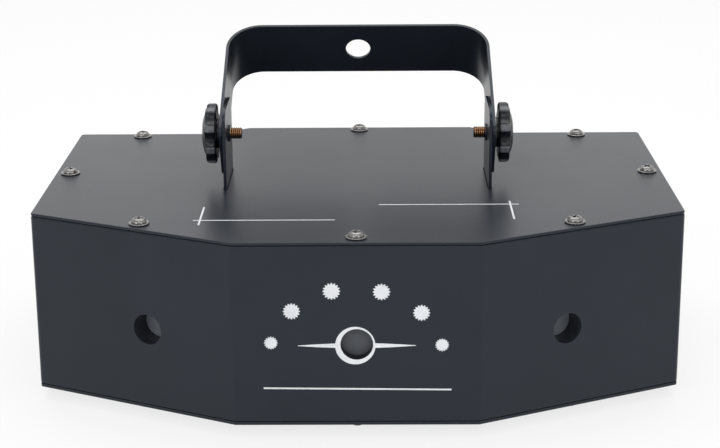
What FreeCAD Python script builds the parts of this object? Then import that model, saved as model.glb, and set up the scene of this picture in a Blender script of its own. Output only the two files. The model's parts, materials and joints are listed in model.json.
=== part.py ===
import FreeCAD
import Part
import Sketcher
import os
import re
from FreeCAD import Placement, Rotation, Vector

# Laser show projector: folded sheet-steel housing with three laser heads behind a fan-shaped front,
# hung in a U yoke that two knobs clamp. Millimetres, +X right, +Y to the back, +Z up.
# The origin is under the middle of the object's box, on the plane that the feet stand on.

HOUSING = [
    ("housing_width", 310, "across the two sides"),
    ("front_width", 112.5, "centre facet"),
    ("facet_depth", 45, "how far each angled facet runs back"),
    ("side_depth", 190, "front face to the rear flats"),
    ("bump_base_width", 164, "rear bump where it leaves the flats"),
    ("bump_top_width", 124, "flat of the rear bump"),
    ("bump_depth", 12.5, "how far the rear bump stands out"),
    ("housing_height", 88.5, "underside of base to top of lid"),
    ("wall", 1.2, "folded sheet"),
    ("base_sheet", 1.5, "base plate"),
    ("lid_sheet", 1.5, "lid"),
    ("plate_inset", 0.1, "lid and base edge behind the shell's face"),
    ("plate_corner", 2, "rounded corners of lid and base"),
    ("lid_edge_round", 0.4, "upper edge of the lid"),
    ("bend_round", 1, "outside of the folds along the top and bottom of the walls"),
    ("facet_bend", 1.5, "inside of the upright folds"),
    ("flange_width", 14, "inward flanges that take the screws"),
    ("seam_gap", 0.2, "between flanges of neighbouring sheets"),
    ("vent_length", 26, "air slots in the base"),
    ("vent_width", 4, "air slots in the base"),
    ("vent_pitch", 9, "air slots in the base"),
    ("vent_rear", 90, "first row of air slots in front of the rear flats"),
    ("vent_side", 51, "middle of each block of air slots inside the sides"),
]

SCREWS = [
    ("screw_inset", 7.5, "screw axis inside the front, the facets and the sides"),
    ("rear_screw_inset", 5.6, "screw axis inside the rear flats and the bump"),
    ("side_screw_depth", 112, "side screws behind the front face"),
    ("rear_screw_side", 35, "screws of the rear flats inside the sides"),
    ("facet_screw_share", 0.485, "screw along each angled facet"),
    ("screw_thread", 4, "housing screws"),
    ("screw_flange", 9.8, "washer under the head"),
    ("screw_flange_thick", 0.9, "washer under the head"),
    ("screw_head", 7.2, "domed head"),
    ("screw_head_height", 2, "domed head above its washer"),
    ("screw_length", 7, "below the washer"),
    ("screw_clearance", 0.2, "radial, in every screw hole"),
    ("small_thread", 3, "fan and socket screws"),
    ("small_head", 5.6, "fan and socket screws"),
    ("small_head_height", 2, "fan and socket screws"),
    ("small_length", 13, "fan and socket screws"),
]

FEET = [
    ("foot_diameter", 16, "rubber feet"),
    ("foot_height", 6, "rubber feet"),
    ("foot_stem", 6, "stem pushed through the base"),
    ("foot_barb", 8, "barb above the base"),
    ("foot_barb_height", 2.5, "barb above the base"),
    ("foot_side", 21, "feet inside the sides"),
    ("foot_front", 72, "front feet behind the front face"),
    ("foot_rear", 24, "rear feet in front of the rear flats"),
    ("foot_taper", 1, "chamfer round the foot"),
]

YOKE = [
    ("yoke_width", 136, "outside of the legs"),
    ("yoke_reach", 65, "pivot to the inside of the bar"),
    ("strap_width", 31, "flat strap"),
    ("strap_thick", 1.5, "flat strap"),
    ("yoke_bend", 18, "outside of the two bends"),
    ("strap_end", 16, "legs beyond the pivot"),
    ("strap_corner", 5, "corners of the leg ends"),
    ("hang_hole", 13, "hanging hole in the bar"),
    ("yoke_angle", 62, "degrees back from upright"),
    ("yoke_gap", 0.3, "between leg and ear"),
    ("pivot_depth", 101, "pivot behind the front face"),
    ("pivot_height", 24, "pivot above the lid"),
    ("ear_width", 38, "ear plates"),
    ("ear_thick", 1.5, "ear plates"),
    ("ear_height", 39.5, "ear plates above the lid"),
    ("ear_corner", 7, "upper corners of the ears"),
    ("ear_foot", 14, "foot welded under the lid"),
    ("ear_boss", 8.4, "threaded boss on the ear"),
    ("ear_boss_length", 1, "threaded boss on the ear"),
    ("slot_clearance", 0.3, "round the ear in the lid"),
    ("bolt_diameter", 6, "knob bolts"),
    ("bolt_reach", 6.7, "bolt end inside the ear"),
    ("bolt_chamfer", 0.6, "bolt end"),
    ("pivot_clearance", 0.05, "radial, bolt in its holes"),
    ("washer_diameter", 16, "washer under the knob"),
    ("washer_thick", 1, "washer under the knob"),
    ("knob_diameter", 30, "over the lobes"),
    ("knob_thick", 5.6, "lobed rim"),
    ("knob_hub", 15, "hub towards the yoke"),
    ("knob_hub_length", 1.2, "hub towards the yoke"),
    ("knob_dome", 21, "foot of the domed face"),
    ("knob_dome_height", 1.9, "domed face"),
    ("knob_dome_flat", 8, "flat of the domed face"),
    ("knob_socket", 5, "bolt inside the knob"),
    ("scallop_radius", 4.4, "hollows between the lobes"),
    ("scallop_depth", 2, "hollows between the lobes"),
    ("knob_round", 0.9, "edges of the lobes"),
]

HEADS = [
    ("aperture_height", 39.8, "beam axis above the underside of the base"),
    ("aperture_diameter", 14.8, "holes in the front"),
    ("aperture_share", 0.421, "side holes along their facets"),
    ("side_recess", 11, "pane behind the angled facets"),
    ("centre_recess", 5.2, "pane behind the centre facet"),
    ("tube_wall", 2.5, "tubes behind the holes"),
    ("pane_thick", 1.5, "glass panes"),
    ("pane_lap", 1, "pane over the tube's bore, radial"),
    ("pane_clearance", 0.1, "pane in its seat, radial"),
    ("mirror_depth", 32, "mirrors behind the outer face"),
    ("mirror_drop", 14, "lower mirror under the upper one"),
    ("mirror_length", 9, "along its shaft"),
    ("mirror_width", 12, "across its shaft"),
    ("mirror_thick", 1.2, "mirror glass"),
    ("mirror_angle", 45, "degrees, at rest"),
    ("holder_diameter", 4, "clamp on the motor shaft"),
    ("holder_length", 2.5, "clamp on the motor shaft"),
    ("holder_lap", 1, "mirror let into its clamp"),
    ("shaft_diameter", 2, "motor shafts"),
    ("shaft_clearance", 0.05, "radial, shaft in its motor"),
    ("shaft_seat", 8, "shaft inside its motor"),
    ("motor_diameter", 16, "mirror motors"),
    ("motor_length", 14, "mirror motors"),
    ("motor_boss", 6, "pilot boss"),
    ("boss_clearance", 0.1, "pilot boss in the bracket, radial"),
    ("bracket_gap", 7, "mirror axis to bracket wall"),
    ("bracket_wall", 3, "bracket walls"),
    ("bracket_slab", 7, "bracket floor"),
    ("bracket_half", 10, "bracket wall on each side of a motor axis"),
    ("slab_left", 41, "bracket floor left of the beam axis"),
    ("slab_right", 22, "bracket floor right of the beam axis"),
    ("slab_front", 10, "bracket floor in front of the mirrors"),
    ("slab_rear", 13, "bracket floor behind the mirrors"),
    ("module_length", 26, "laser module"),
    ("module_size", 18, "laser module, square"),
    ("module_gap", 14, "laser module to the mirror axis"),
    ("barrel_diameter", 10, "lens barrel"),
    ("barrel_length", 4, "lens barrel"),
    ("barrel_bore", 4, "lens barrel"),
    ("fin_pitch", 4, "pitch of the cooling slots"),
    ("fin_slot", 1.5, "width of the cooling slots"),
    ("fin_depth", 4, "depth of the cooling slots"),
]

ELECTRONICS = [
    ("supply_width", 92, "power supply case"),
    ("supply_depth", 58, "power supply case"),
    ("supply_height", 32, "power supply case"),
    ("supply_rear", 32, "power supply in front of the rear flats"),
    ("supply_sheet", 1.5, "power supply case"),
    ("supply_lift", 4, "board above the case floor"),
    ("supply_terminal", 9, "terminal block"),
    ("transformer_size", 24, "transformer"),
    ("transformer_height", 18, "transformer and capacitors"),
    ("capacitor_diameter", 12, "capacitors"),
    ("board_width", 72, "main board"),
    ("board_depth", 50, "main board"),
    ("board_thick", 1.6, "all boards"),
    ("board_side", 60, "middle of the main board inside the right side"),
    ("supply_gap", 13, "power supply to the main board"),
    ("board_rear", 36, "main board in front of the rear flats"),
    ("standoff_diameter", 6, "under the main board"),
    ("standoff_height", 7, "under the main board"),
    ("standoff_inset", 5, "from the board's corners"),
    ("chip_size", 14, "processor"),
    ("chip_height", 2, "processor"),
    ("driver_width", 9, "motor drivers"),
    ("driver_height", 6, "motor drivers"),
    ("driver_pitch", 15, "motor drivers"),
]

REAR = [
    ("rear_axis_shift", 0.75, "middle of the rear fittings above the middle of the housing"),
    ("fan_inset", 26, "fan axis inside the right end of the bump"),
    ("fan_size", 40, "square fan"),
    ("fan_depth", 10, "square fan"),
    ("fan_rim", 1.25, "frame beside the air duct"),
    ("fan_hole_inset", 4, "fan screws inside the frame"),
    ("fan_hub", 16, "rotor hub"),
    ("fan_strut", 2, "frame struts and carrier"),
    ("fan_tip_gap", 0.6, "blade tip to duct"),
    ("fan_axial_gap", 0.6, "rotor in front of its carrier"),
    ("blade_thick", 1, "fan blades"),
    ("blade_angle", 38, "degrees"),
    ("guard_thick", 1.5, "finger guard"),
    ("guard_wire", 1.6, "width of the guard's rings"),
    ("guard_pitch", 4.6, "from ring to ring"),
    ("guard_lug", 7, "guard round its screws"),
    ("inlet_shift", 2.5, "mains inlet inwards from the middle of its rear flat"),
    ("inlet_width", 31, "inlet flange"),
    ("inlet_height", 24, "inlet flange"),
    ("fitting_flange", 2, "flanges of the rear fittings"),
    ("inlet_lip", 2, "inlet flange beyond its body"),
    ("inlet_body_depth", 22, "inlet body"),
    ("socket_wall", 1.5, "inlet body beside the socket"),
    ("socket_roof", 1.75, "inlet body over and under the socket"),
    ("socket_depth", 16.5, "inlet socket"),
    ("blade_width", 4, "inlet pins"),
    ("blade_sheet", 2, "inlet pins"),
    ("blade_length", 13, "inlet pins"),
    ("blade_pitch", 7, "inlet pins"),
    ("blade_raise", 2, "outer pins off the middle"),
    ("inlet_lift", 8, "inlet under the middle of the rear fittings"),
    ("switch_width", 21, "switch flange"),
    ("switch_height", 15, "switch flange"),
    ("switch_lip", 1, "switch flange beyond its body"),
    ("switch_body_depth", 14, "switch body"),
    ("switch_lift", 18, "switch above the middle of the rear fittings"),
    ("rocker_side", 2, "switch body beside the rocker"),
    ("rocker_end", 1.5, "switch body over and under the rocker"),
    ("rocker_depth", 7, "rocker inside the frame"),
    ("rocker_stand", 3.4, "raised end of the rocker"),
    ("rocker_waist", 1.8, "middle of the rocker"),
    ("rocker_gap", 0.7, "round the rocker"),
    ("rocker_tilt", 10, "degrees, at rest"),
    ("rocker_pin", 3, "rocker pivot"),
    ("rocker_pin_length", 1.2, "rocker pivot into each side of the frame"),
    ("rocker_pin_depth", 3, "rocker pivot inside the panel's outer face"),
    ("panel_clearance", 0.2, "round every fitting in the rear panel"),
    ("dmx_shift", 0.5, "data sockets inwards from the middle of their rear flat"),
    ("dmx_gap", 2, "upper to lower data socket flange"),
    ("dmx_flange_width", 26, "data socket flange"),
    ("dmx_flange_height", 30, "data socket flange"),
    ("dmx_body", 22, "data socket body"),
    ("dmx_depth", 20, "data socket body"),
    ("dmx_wall", 3.2, "socket body round the data plug's way in"),
    ("dmx_bore_depth", 13, "data plug's way in"),
    ("dmx_pin", 2.4, "data pins"),
    ("dmx_pin_length", 10, "data pins"),
    ("dmx_pin_circle", 7.6, "data pins"),
    ("dmx_core", 11.4, "core with the receiving holes"),
    ("dmx_screw_x", 9.5, "flange screws off the socket axis"),
    ("dmx_screw_z", 12, "flange screws off the socket axis"),
    ("display_shift", 3, "display left of the middle of its room beside the fan"),
    ("display_width", 38, "display window"),
    ("display_height", 16, "display window"),
    ("display_lip", 1.5, "display window lip"),
    ("display_lip_thick", 1, "display window lip"),
    ("display_depth", 3, "display window through the panel"),
    ("display_lift", 10, "display above the middle of the rear fittings"),
    ("button_diameter", 6, "menu buttons"),
    ("button_collar", 8, "collar behind the panel"),
    ("button_collar_thick", 1.2, "collar behind the panel"),
    ("button_stand", 2.2, "button outside the panel"),
    ("button_travel", 0.8, "button press"),
    ("button_pitch", 11, "menu buttons"),
    ("button_drop", 12, "buttons under the middle of the rear fittings"),
    ("button_clearance", 0.2, "radial, button in the panel"),
    ("key_size", 5, "key switch under each button"),
    ("key_gap", 0.2, "button to its key switch at full press"),
    ("panel_board_margin", 7, "display board on each side of the display"),
    ("panel_board_height", 46, "display board"),
    ("panel_board_gap", 7, "display board behind the rear panel"),
    ("post_diameter", 5, "posts of the display board"),
    ("post_inset", 3.5, "posts from the board's corners"),
]

FITS = [
    ("overrun", 2, "how far every cut runs past its wall"),
]

# Counts
LOBES = 8
BLADES = 7
VENTS_PER_BLOCK = 6
FINS = 4
DRIVERS = 3
GUARD_RINGS = 4

# Directions of primitives, which stand along +Z until turned
QUARTER_TURN = 90
ALONG_X = Rotation(Vector(0, 1, 0), QUARTER_TURN)
ALONG_Y = Rotation(Vector(1, 0, 0), -QUARTER_TURN)
ALONG_Z = Rotation()

# Two places closer than this are one place
SAME = 1e-5

SIZES = HOUSING + SCREWS + FEET + YOKE + HEADS + ELECTRONICS + REAR + FITS
ALIASES = {name for name, value, note in SIZES}

# Places that several pieces share, as formulas of the sizes
DERIVED = {
    "front_y": "-(side_depth + bump_depth + guard_thick + small_head_height)/2",
    "half_width": "housing_width/2",
    "half_front": "front_width/2",
    "flat_middle": "(bump_base_width/2 + half_width)/2",
    "vent_x": "half_width - vent_side",
    "rear_screw_x": "half_width - rear_screw_side",
    "foot_x": "half_width - foot_side",
    "facet_angle": "atan2(facet_depth; half_width - half_front)",
    "bump_angle": "atan2(bump_depth; (bump_base_width - bump_top_width)/2)",
    "rear_depth": "side_depth + bump_depth",
    "base_top": "foot_height + base_sheet",
    "lid_under": "foot_height + housing_height - lid_sheet",
    "lid_top": "foot_height + housing_height",
    "lid_under_round": "lid_sheet - 2*lid_edge_round",
    "shell_height": "housing_height - base_sheet - lid_sheet",
    "beam_z": "foot_height + aperture_height",
    "yoke_inside": "yoke_width/2 - strap_thick",
    "ear_outside": "yoke_inside - yoke_gap",
    "ear_inside": "ear_outside - ear_thick",
    "pivot_y": "front_y + pivot_depth",
    "pivot_z": "lid_top + pivot_height",
    "knob_start": "yoke_width/2 + washer_thick",
    "bolt_hole": "bolt_diameter/2 + pivot_clearance",
    "screw_hole": "screw_thread/2 + screw_clearance",
    "small_hole": "small_thread/2 + screw_clearance",
    "rear_z": "foot_height + housing_height/2 + rear_axis_shift",
    "flat_y": "front_y + side_depth",
    "bump_y": "front_y + rear_depth",
    "slab_under": "base_sheet - aperture_height",
    "slab_top": "slab_under + bracket_slab",
    "bracket_face": "mirror_depth + bracket_gap",
    "board_x": "half_width - board_side",
    "supply_x": "board_x - board_width/2 - supply_gap - supply_width/2",
    "supply_y": "flat_y - supply_rear - supply_depth",
    "board_y": "flat_y - board_rear - board_depth",
    "board_z": "base_top + standoff_height",
    "fan_x": "bump_top_width/2 - fan_inset",
    "inlet_x": "flat_middle - inlet_shift",
    "dmx_x": "flat_middle - dmx_shift",
    "display_x": "(bump_top_width/2 - fan_x + fan_size/2)/2 + display_shift",
    "fan_bore": "fan_size - 2*fan_rim",
    "fan_hole_pitch": "fan_size - 2*fan_hole_inset",
    "inlet_body_width": "inlet_width - 2*inlet_lip",
    "inlet_body_height": "inlet_height - 2*inlet_lip",
    "socket_width": "inlet_body_width - 2*socket_wall",
    "socket_height": "inlet_body_height - 2*socket_roof",
    "switch_body_width": "switch_width - 2*switch_lip",
    "switch_body_height": "switch_height - 2*switch_lip",
    "rocker_width": "switch_body_width - 2*rocker_side",
    "rocker_height": "switch_body_height - 2*rocker_end",
    "dmx_bore": "dmx_body - 2*dmx_wall",
    "dmx_pitch": "dmx_flange_height + dmx_gap",
    "inlet_z": "rear_z - inlet_lift",
    "switch_z": "rear_z + switch_lift",
    "button_z": "rear_z - button_drop",
    "display_z": "rear_z + display_lift",
    "panel_board_width": "display_width + 2*panel_board_margin",
    "panel_board_y": "bump_y - wall - panel_board_gap",
    "rocker_y": "flat_y - rocker_pin_depth",
}

document = FreeCAD.newDocument("laser_show_projector")
sheet = document.addObject("Spreadsheet::Sheet", "Sizes")
for row, (name, value, note) in enumerate(SIZES, 1):
    sheet.set(f"A{row}", name)
    sheet.set(f"B{row}", str(value))
    sheet.set(f"C{row}", note)
    sheet.setAlias(f"B{row}", name)
document.recompute()

WORD = re.compile(r"[a-z_]+[a-z0-9_]*")


def formula(text):
    """The sheet expression for a formula written in size names."""

    def expand(match):
        word = match.group()
        if word in DERIVED:
            return f"({formula(DERIVED[word])})"
        return f"Sizes.{word}" if word in ALIASES else word

    return WORD.sub(expand, text)


def number(text):
    return float(sheet.evalExpression(formula(text)))


def spot(x, y, z):
    return Vector(number(x), number(y), number(z))


def bind(item, **properties):
    for name, text in properties.items():
        item.setExpression(name, formula(text))


def place(item, at, turn=ALONG_Z):
    item.Placement = Placement(spot(*at), turn)
    for axis, text in zip("xyz", at):
        item.setExpression(f"Placement.Base.{axis}", formula(text))


# Part primitives and booleans
def box(name, size, at):
    item = document.addObject("Part::Box", name)
    bind(item, Length=size[0], Width=size[1], Height=size[2])
    place(item, at)
    return item


def middle_box(name, size, at):
    """A box with its middle on at in X and Z, running from at towards +Y."""
    return box(name, size, (f"{at[0]} - ({size[0]})/2", at[1], f"{at[2]} - ({size[2]})/2"))


def rod(name, radius, length, at, turn=ALONG_Z):
    item = document.addObject("Part::Cylinder", name)
    bind(item, Radius=radius, Height=length)
    place(item, at, turn)
    return item


def cone(name, radius, end_radius, length, at, turn=ALONG_Z):
    item = document.addObject("Part::Cone", name)
    bind(item, Radius1=radius, Radius2=end_radius, Height=length)
    place(item, at, turn)
    return item


def join(name, pieces):
    item = document.addObject("Part::MultiFuse", name)
    item.Shapes = pieces
    item.Refine = True
    return item


def cut(name, base, tools):
    tool = tools[0] if len(tools) == 1 else join(f"{name}_tools", tools)
    item = document.addObject("Part::Cut", name)
    item.Base = base
    item.Tool = tool
    return item


def group(name, pieces):
    item = document.addObject("Part::Compound", name)
    item.Links = pieces
    return item


# PartDesign bodies
def body(name):
    return document.addObject("PartDesign::Body", name)


def sketch(owner, name, plane, level="0"):
    item = owner.newObject("Sketcher::SketchObject", name)
    support = [feature for feature in owner.Origin.OriginFeatures if feature.Role == plane]
    item.AttachmentSupport = [(support[0], "")]
    item.MapMode = "FlatFace"
    item.setExpression("AttachmentOffset.Base.z", formula(level))
    return item


def pin_point(drawing, curve, point, at):
    for kind, axis, text in zip(("DistanceX", "DistanceY"), (-2, -1), at):
        value = number(text)
        if text == "0":
            drawing.addConstraint(Sketcher.Constraint("PointOnObject", curve, point, axis))
        else:
            index = drawing.addConstraint(Sketcher.Constraint(kind, -1, 1, curve, point, value))
            drawing.setExpression(f"Constraints[{index}]", formula(text))


def polygon(drawing, points):
    corners = [Vector(number(x), number(y), 0) for x, y in points]
    start = drawing.GeometryCount
    count = len(points)
    for index, corner in enumerate(corners):
        drawing.addGeometry(Part.LineSegment(corner, corners[(index + 1) % count]), False)
    for index in range(count):
        following = start + (index + 1) % count
        drawing.addConstraint(Sketcher.Constraint("Coincident", start + index, 2, following, 1))
    for index, point in enumerate(points):
        pin_point(drawing, start + index, 1, point)


def rectangle(drawing, x, y, width, height):
    left, right = f"{x} - ({width})/2", f"{x} + ({width})/2"
    low, high = f"{y} - ({height})/2", f"{y} + ({height})/2"
    polygon(drawing, [(left, low), (right, low), (right, high), (left, high)])


def circle(drawing, x, y, radius):
    round_line = Part.Circle(Vector(number(x), number(y), 0), Vector(0, 0, 1), number(radius))
    curve = drawing.addGeometry(round_line, False)
    pin_point(drawing, curve, 3, (x, y))
    index = drawing.addConstraint(Sketcher.Constraint("Radius", curve, number(radius)))
    drawing.setExpression(f"Constraints[{index}]", formula(radius))


def pad(owner, drawing, length, middle=False):
    item = owner.newObject("PartDesign::Pad", f"{drawing.Label}_pad")
    item.Profile = drawing
    item.Midplane = middle
    bind(item, Length=length)
    document.recompute()
    return item


def pocket(owner, drawing):
    """Cuts the drawing right through, both ways from its plane."""
    before = owner.Shape.Volume
    item = owner.newObject("PartDesign::Pocket", f"{drawing.Label}_pocket")
    item.Profile = drawing
    item.Type = "ThroughAll"
    item.Midplane = True
    document.recompute()
    if not owner.Shape.Volume < before:
        raise RuntimeError(f"{drawing.Label} cuts nothing")
    return item


def round_edges(owner, name, radius, wanted):
    """Fillets the edges of the body whose middles pass the test."""
    base = owner.Tip
    names = [f"Edge{index}" for index, edge in enumerate(base.Shape.Edges, 1) if wanted(edge)]
    item = owner.newObject("PartDesign::Fillet", name)
    item.Base = (base, names)
    bind(item, Radius=radius)
    document.recompute()
    return item


def runs_along(edge, axis):
    """True of a straight edge along the axis."""
    if edge.Curve.TypeId != "Part::GeomLine":
        return False
    return abs(abs(edge.tangentAt(edge.FirstParameter).dot(axis)) - 1) < SAME


def upright(edge):
    """True of a straight edge along the body's own Z."""
    return runs_along(edge, Vector(0, 0, 1))


def same(first, second):
    return abs(first - second) < SAME


def near(value, text):
    return same(value, number(text))


# Plan outline of the housing, moved inwards by a margin, from the right rear round the front
def front_points(margin, rear):
    """Right half of the shell's plan: facet corner, side corner and where the side ends."""
    return [
        (f"half_front - ({margin})*tan(facet_angle/2)", f"front_y + ({margin})"),
        (f"half_width - ({margin})", f"front_y + facet_depth + ({margin})*tan((90 deg - facet_angle)/2)"),
        (f"half_width - ({margin})", rear),
    ]


def rear_points(margin, side):
    """Right half of the rear panel's plan: bump corner, bump foot and where it meets the side."""
    return [
        (f"bump_top_width/2 - ({margin})*tan(bump_angle/2)", f"bump_y - ({margin})"),
        (f"bump_base_width/2 - ({margin})*tan(bump_angle/2)", f"flat_y - ({margin})"),
        (side, f"flat_y - ({margin})"),
    ]


def mirrored(points):
    return [(f"-({x})", y) for x, y in reversed(points)]


def ring(outer, inner):
    """Closed strip between two half outlines and their mirror images."""
    return mirrored(outer) + outer + list(reversed(inner)) + list(reversed(mirrored(inner)))


def plan(margin):
    right = front_points(margin, f"flat_y - ({margin})")[:2]
    right += reversed(rear_points(margin, f"half_width - ({margin})"))
    return right + mirrored(right)


def facet_place(along, inset):
    """Point on the right facet, a share of the way along it and inset behind its face."""
    return (
        f"half_front + {along}*(half_width - half_front) - ({inset})*sin(facet_angle)",
        f"front_y + {along}*facet_depth + ({inset})*cos(facet_angle)",
    )


def screw_places():
    right = [
        facet_place("facet_screw_share", "screw_inset"),
        ("half_width - screw_inset", "front_y + side_screw_depth"),
        ("rear_screw_x", "flat_y - rear_screw_inset"),
    ]
    return right + mirrored(right) + [("0", "front_y + screw_inset"), ("0", "bump_y - rear_screw_inset")]


def flange_screws(shell):
    """Screw places that fall on the front shell's flanges, or on the rear panel's."""
    return [at for at in screw_places() if ("flat_y" in at[1] or "bump_y" in at[1]) != shell]


parts = {}


def keep(name, item):
    item.Label = name
    parts[name] = item


# Base plate and lid
def cover_plate(name, thickness, level):
    plate = body(name)
    outline = sketch(plate, f"{name}_outline", "XY_Plane")
    polygon(outline, plan("plate_inset"))
    pad(plate, outline, thickness)
    holes = sketch(plate, f"{name}_screw_holes", "XY_Plane")
    for x, y in screw_places():
        circle(holes, x, y, "screw_hole")
    pocket(plate, holes)
    place(plate, ("0", "0", level))
    return plate


def round_plate_corners(plate, name):
    side = number("half_width - plate_inset")
    round_edges(plate, f"{name}_corners", "plate_corner",
                lambda edge: upright(edge) and same(abs(edge.CenterOfMass.x), side))


def make_lid():
    lid = cover_plate("lid", "lid_sheet", "lid_under")
    slots = sketch(lid, "lid_ear_slots", "XY_Plane")
    for sign in ("-", ""):
        rectangle(slots, f"{sign}(ear_outside - ear_thick/2)", "pivot_y",
                  "ear_thick + 2*slot_clearance", "ear_width + 2*slot_clearance")
    pocket(lid, slots)
    round_plate_corners(lid, "lid")
    round_edges(lid, "lid_rim", "lid_edge_round", lambda edge: outer_rim(lid, edge, "lid_sheet"))
    round_edges(lid, "lid_lower_rim", "lid_under_round", lambda edge: outer_rim(lid, edge, "0"))
    return lid


def outer_rim(plate, edge, level):
    """True of the plate's outline edges at a level."""
    face = [face for face in plate.Tip.Shape.Faces if near(face.CenterOfMass.z, level)][0]
    return any(edge.isSame(other) for other in face.OuterWire.Edges)


def make_base():
    base = cover_plate("base_plate", "base_sheet", "foot_height")
    openings = sketch(base, "base_openings", "XY_Plane")
    for x, y in foot_places():
        circle(openings, x, y, "foot_stem/2 + screw_clearance")
    for sign in ("-", ""):
        for index in range(VENTS_PER_BLOCK):
            rectangle(openings, f"{sign}vent_x", f"flat_y - vent_rear + {index}*vent_pitch",
                      "vent_length", "vent_width")
    pocket(base, openings)
    round_plate_corners(base, "base_plate")
    return base


def foot_places():
    rows = ("front_y + foot_front", "flat_y - foot_rear")
    return [(f"{sign}foot_x", row) for sign in ("-", "") for row in rows]


# Folded walls
def front_inset(point):
    """How far a point of the plan lies inside the front, the facets and the sides."""
    across = abs(point.x)
    facet = Vector(number("half_width - half_front"), number("facet_depth"), 0)
    from_corner = Vector(across - number("half_front"), point.y - number("front_y"), 0)
    behind_facet = facet.cross(from_corner).z / facet.Length
    return min(point.y - number("front_y"), number("half_width") - across, behind_facet)


def rear_inset(point):
    """How far a point of the plan lies inside the rear flats and the bump."""
    across = abs(point.x)
    slope = Vector(number("(bump_top_width - bump_base_width)/2"), number("bump_depth"), 0)
    from_foot = Vector(across - number("bump_base_width/2"), point.y - number("flat_y"), 0)
    inside_slope = slope.cross(from_foot).z / slope.Length
    inside_bump = min(number("bump_y") - point.y, inside_slope)
    return max(number("flat_y") - point.y, inside_bump)


def fold_edges(plan_points):
    places = [(number(x), number(y)) for x, y in plan_points]

    def wanted(edge):
        middle = edge.CenterOfMass
        return upright(edge) and any(
            same(abs(middle.x), x) and same(middle.y, y) for x, y in places)

    return wanted


def rim_edges(inset):
    levels = (0, number("shell_height"))
    limit = number("wall/4")

    def wanted(edge):
        middle = edge.valueAt((edge.FirstParameter + edge.LastParameter) / 2)
        flat = any(same(middle.z, level) for level in levels) and not upright(edge)
        return flat and inset(middle) < limit

    return wanted


def add_flanges(panel, name, strip, holes):
    for word, level in (("lower", "0"), ("upper", "shell_height - wall")):
        drawing = sketch(panel, f"{name}_{word}_flange", "XY_Plane", level)
        polygon(drawing, strip)
        pad(panel, drawing, "wall")
    drilling = sketch(panel, f"{name}_flange_holes", "XY_Plane")
    for x, y in holes:
        circle(drilling, x, y, "screw_hole")
    pocket(panel, drilling)


def make_front_shell():
    shell = body("front_walls")
    end = "flat_y - wall"
    walls = sketch(shell, "front_plan", "XY_Plane")
    polygon(walls, ring(front_points("0", end), front_points("wall", end)))
    pad(shell, walls, "shell_height")
    round_edges(shell, "front_folds_outside", "facet_bend + wall", fold_edges(front_points("0", end)[:2]))
    round_edges(shell, "front_folds_inside", "facet_bend", fold_edges(front_points("wall", end)[:2]))
    round_edges(shell, "front_rims", "bend_round", rim_edges(front_inset))
    stop = "flat_y - wall - flange_width - seam_gap"
    strip = ring(front_points("wall", stop), front_points("wall + flange_width", stop))
    add_flanges(shell, "front", strip, flange_screws(True))
    place(shell, ("0", "0", "base_top"))
    holes = []
    for name, at, angle in head_places():
        hole = rod(f"hole_{name}", "aperture_diameter/2", "wall + 2*overrun", ("0", "-overrun", "0"), ALONG_Y)
        bore = group(f"bore_{name}", [hole])
        place(bore, at, Rotation(Vector(0, 0, 1), angle))
        holes.append(bore)
    return cut("front_shell", shell, holes)


def head_places():
    """Each head's aperture on the outer face, and how far the head is turned about +Z."""
    x, y = facet_place("aperture_share", "0")
    angle = number("facet_angle")
    return [
        ("left", (f"-({x})", y, "beam_z"), -angle),
        ("centre", ("0", "front_y", "beam_z"), 0),
        ("right", (x, y, "beam_z"), angle),
    ]


def make_rear_panel():
    panel = body("rear_walls")
    walls = sketch(panel, "rear_plan", "XY_Plane")
    polygon(walls, ring(rear_points("0", "half_width"), rear_points("wall", "half_width")))
    pad(panel, walls, "shell_height")
    outer = rear_points("0", "half_width")
    inner = rear_points("wall", "half_width")
    round_edges(panel, "bump_folds_wide", "facet_bend + wall", fold_edges([outer[0], inner[1]]))
    round_edges(panel, "bump_folds_tight", "facet_bend", fold_edges([outer[1], inner[0]]))
    round_edges(panel, "rear_rims", "bend_round", rim_edges(rear_inset))
    side = "half_width - wall - seam_gap"
    strip = ring(rear_points("wall", side), rear_points("wall + flange_width", side))
    add_flanges(panel, "rear", strip, flange_screws(False))
    openings = sketch(panel, "rear_openings", "XZ_Plane")
    level = "base_top"
    circle(openings, "fan_x", f"rear_z - {level}", "fan_bore/2")
    for x, z in fan_holes():
        circle(openings, x, f"{z} - {level}", "small_hole")
    rectangle(openings, "-inlet_x", f"inlet_z - {level}",
              "inlet_body_width + 2*panel_clearance", "inlet_body_height + 2*panel_clearance")
    rectangle(openings, "-inlet_x", f"switch_z - {level}",
              "switch_body_width + 2*panel_clearance", "switch_body_height + 2*panel_clearance")
    for name, z in dmx_places():
        circle(openings, "dmx_x", f"{z} - {level}", "dmx_body/2 + panel_clearance")
        for x, screw_z in dmx_holes(z):
            circle(openings, x, f"{screw_z} - {level}", "small_hole")
    rectangle(openings, "-display_x", f"display_z - {level}",
              "display_width + 2*panel_clearance", "display_height + 2*panel_clearance")
    for name, x in button_places():
        circle(openings, x, f"button_z - {level}", "button_diameter/2 + button_clearance")
    pocket(panel, openings)
    place(panel, ("0", "0", level))
    return panel


# Screws
def washer_screw(name, x, y, seat, points_down):
    """Screw seated on a level with its washer, its thread on the other side."""
    up = ALONG_Z if points_down else Rotation(Vector(1, 0, 0), 2 * QUARTER_TURN)
    washer = rod(f"{name}_washer", "screw_flange/2", "screw_flange_thick", ("0", "0", "0"))
    head = cone(f"{name}_head", "screw_head/2", "screw_head/4", "screw_head_height",
                ("0", "0", "screw_flange_thick"))
    thread = rod(f"{name}_thread", "screw_thread/2", "screw_length", ("0", "0", "-screw_length"))
    screw = join(name, [washer, head, thread])
    place(screw, (x, y, seat), up)
    return screw


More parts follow.
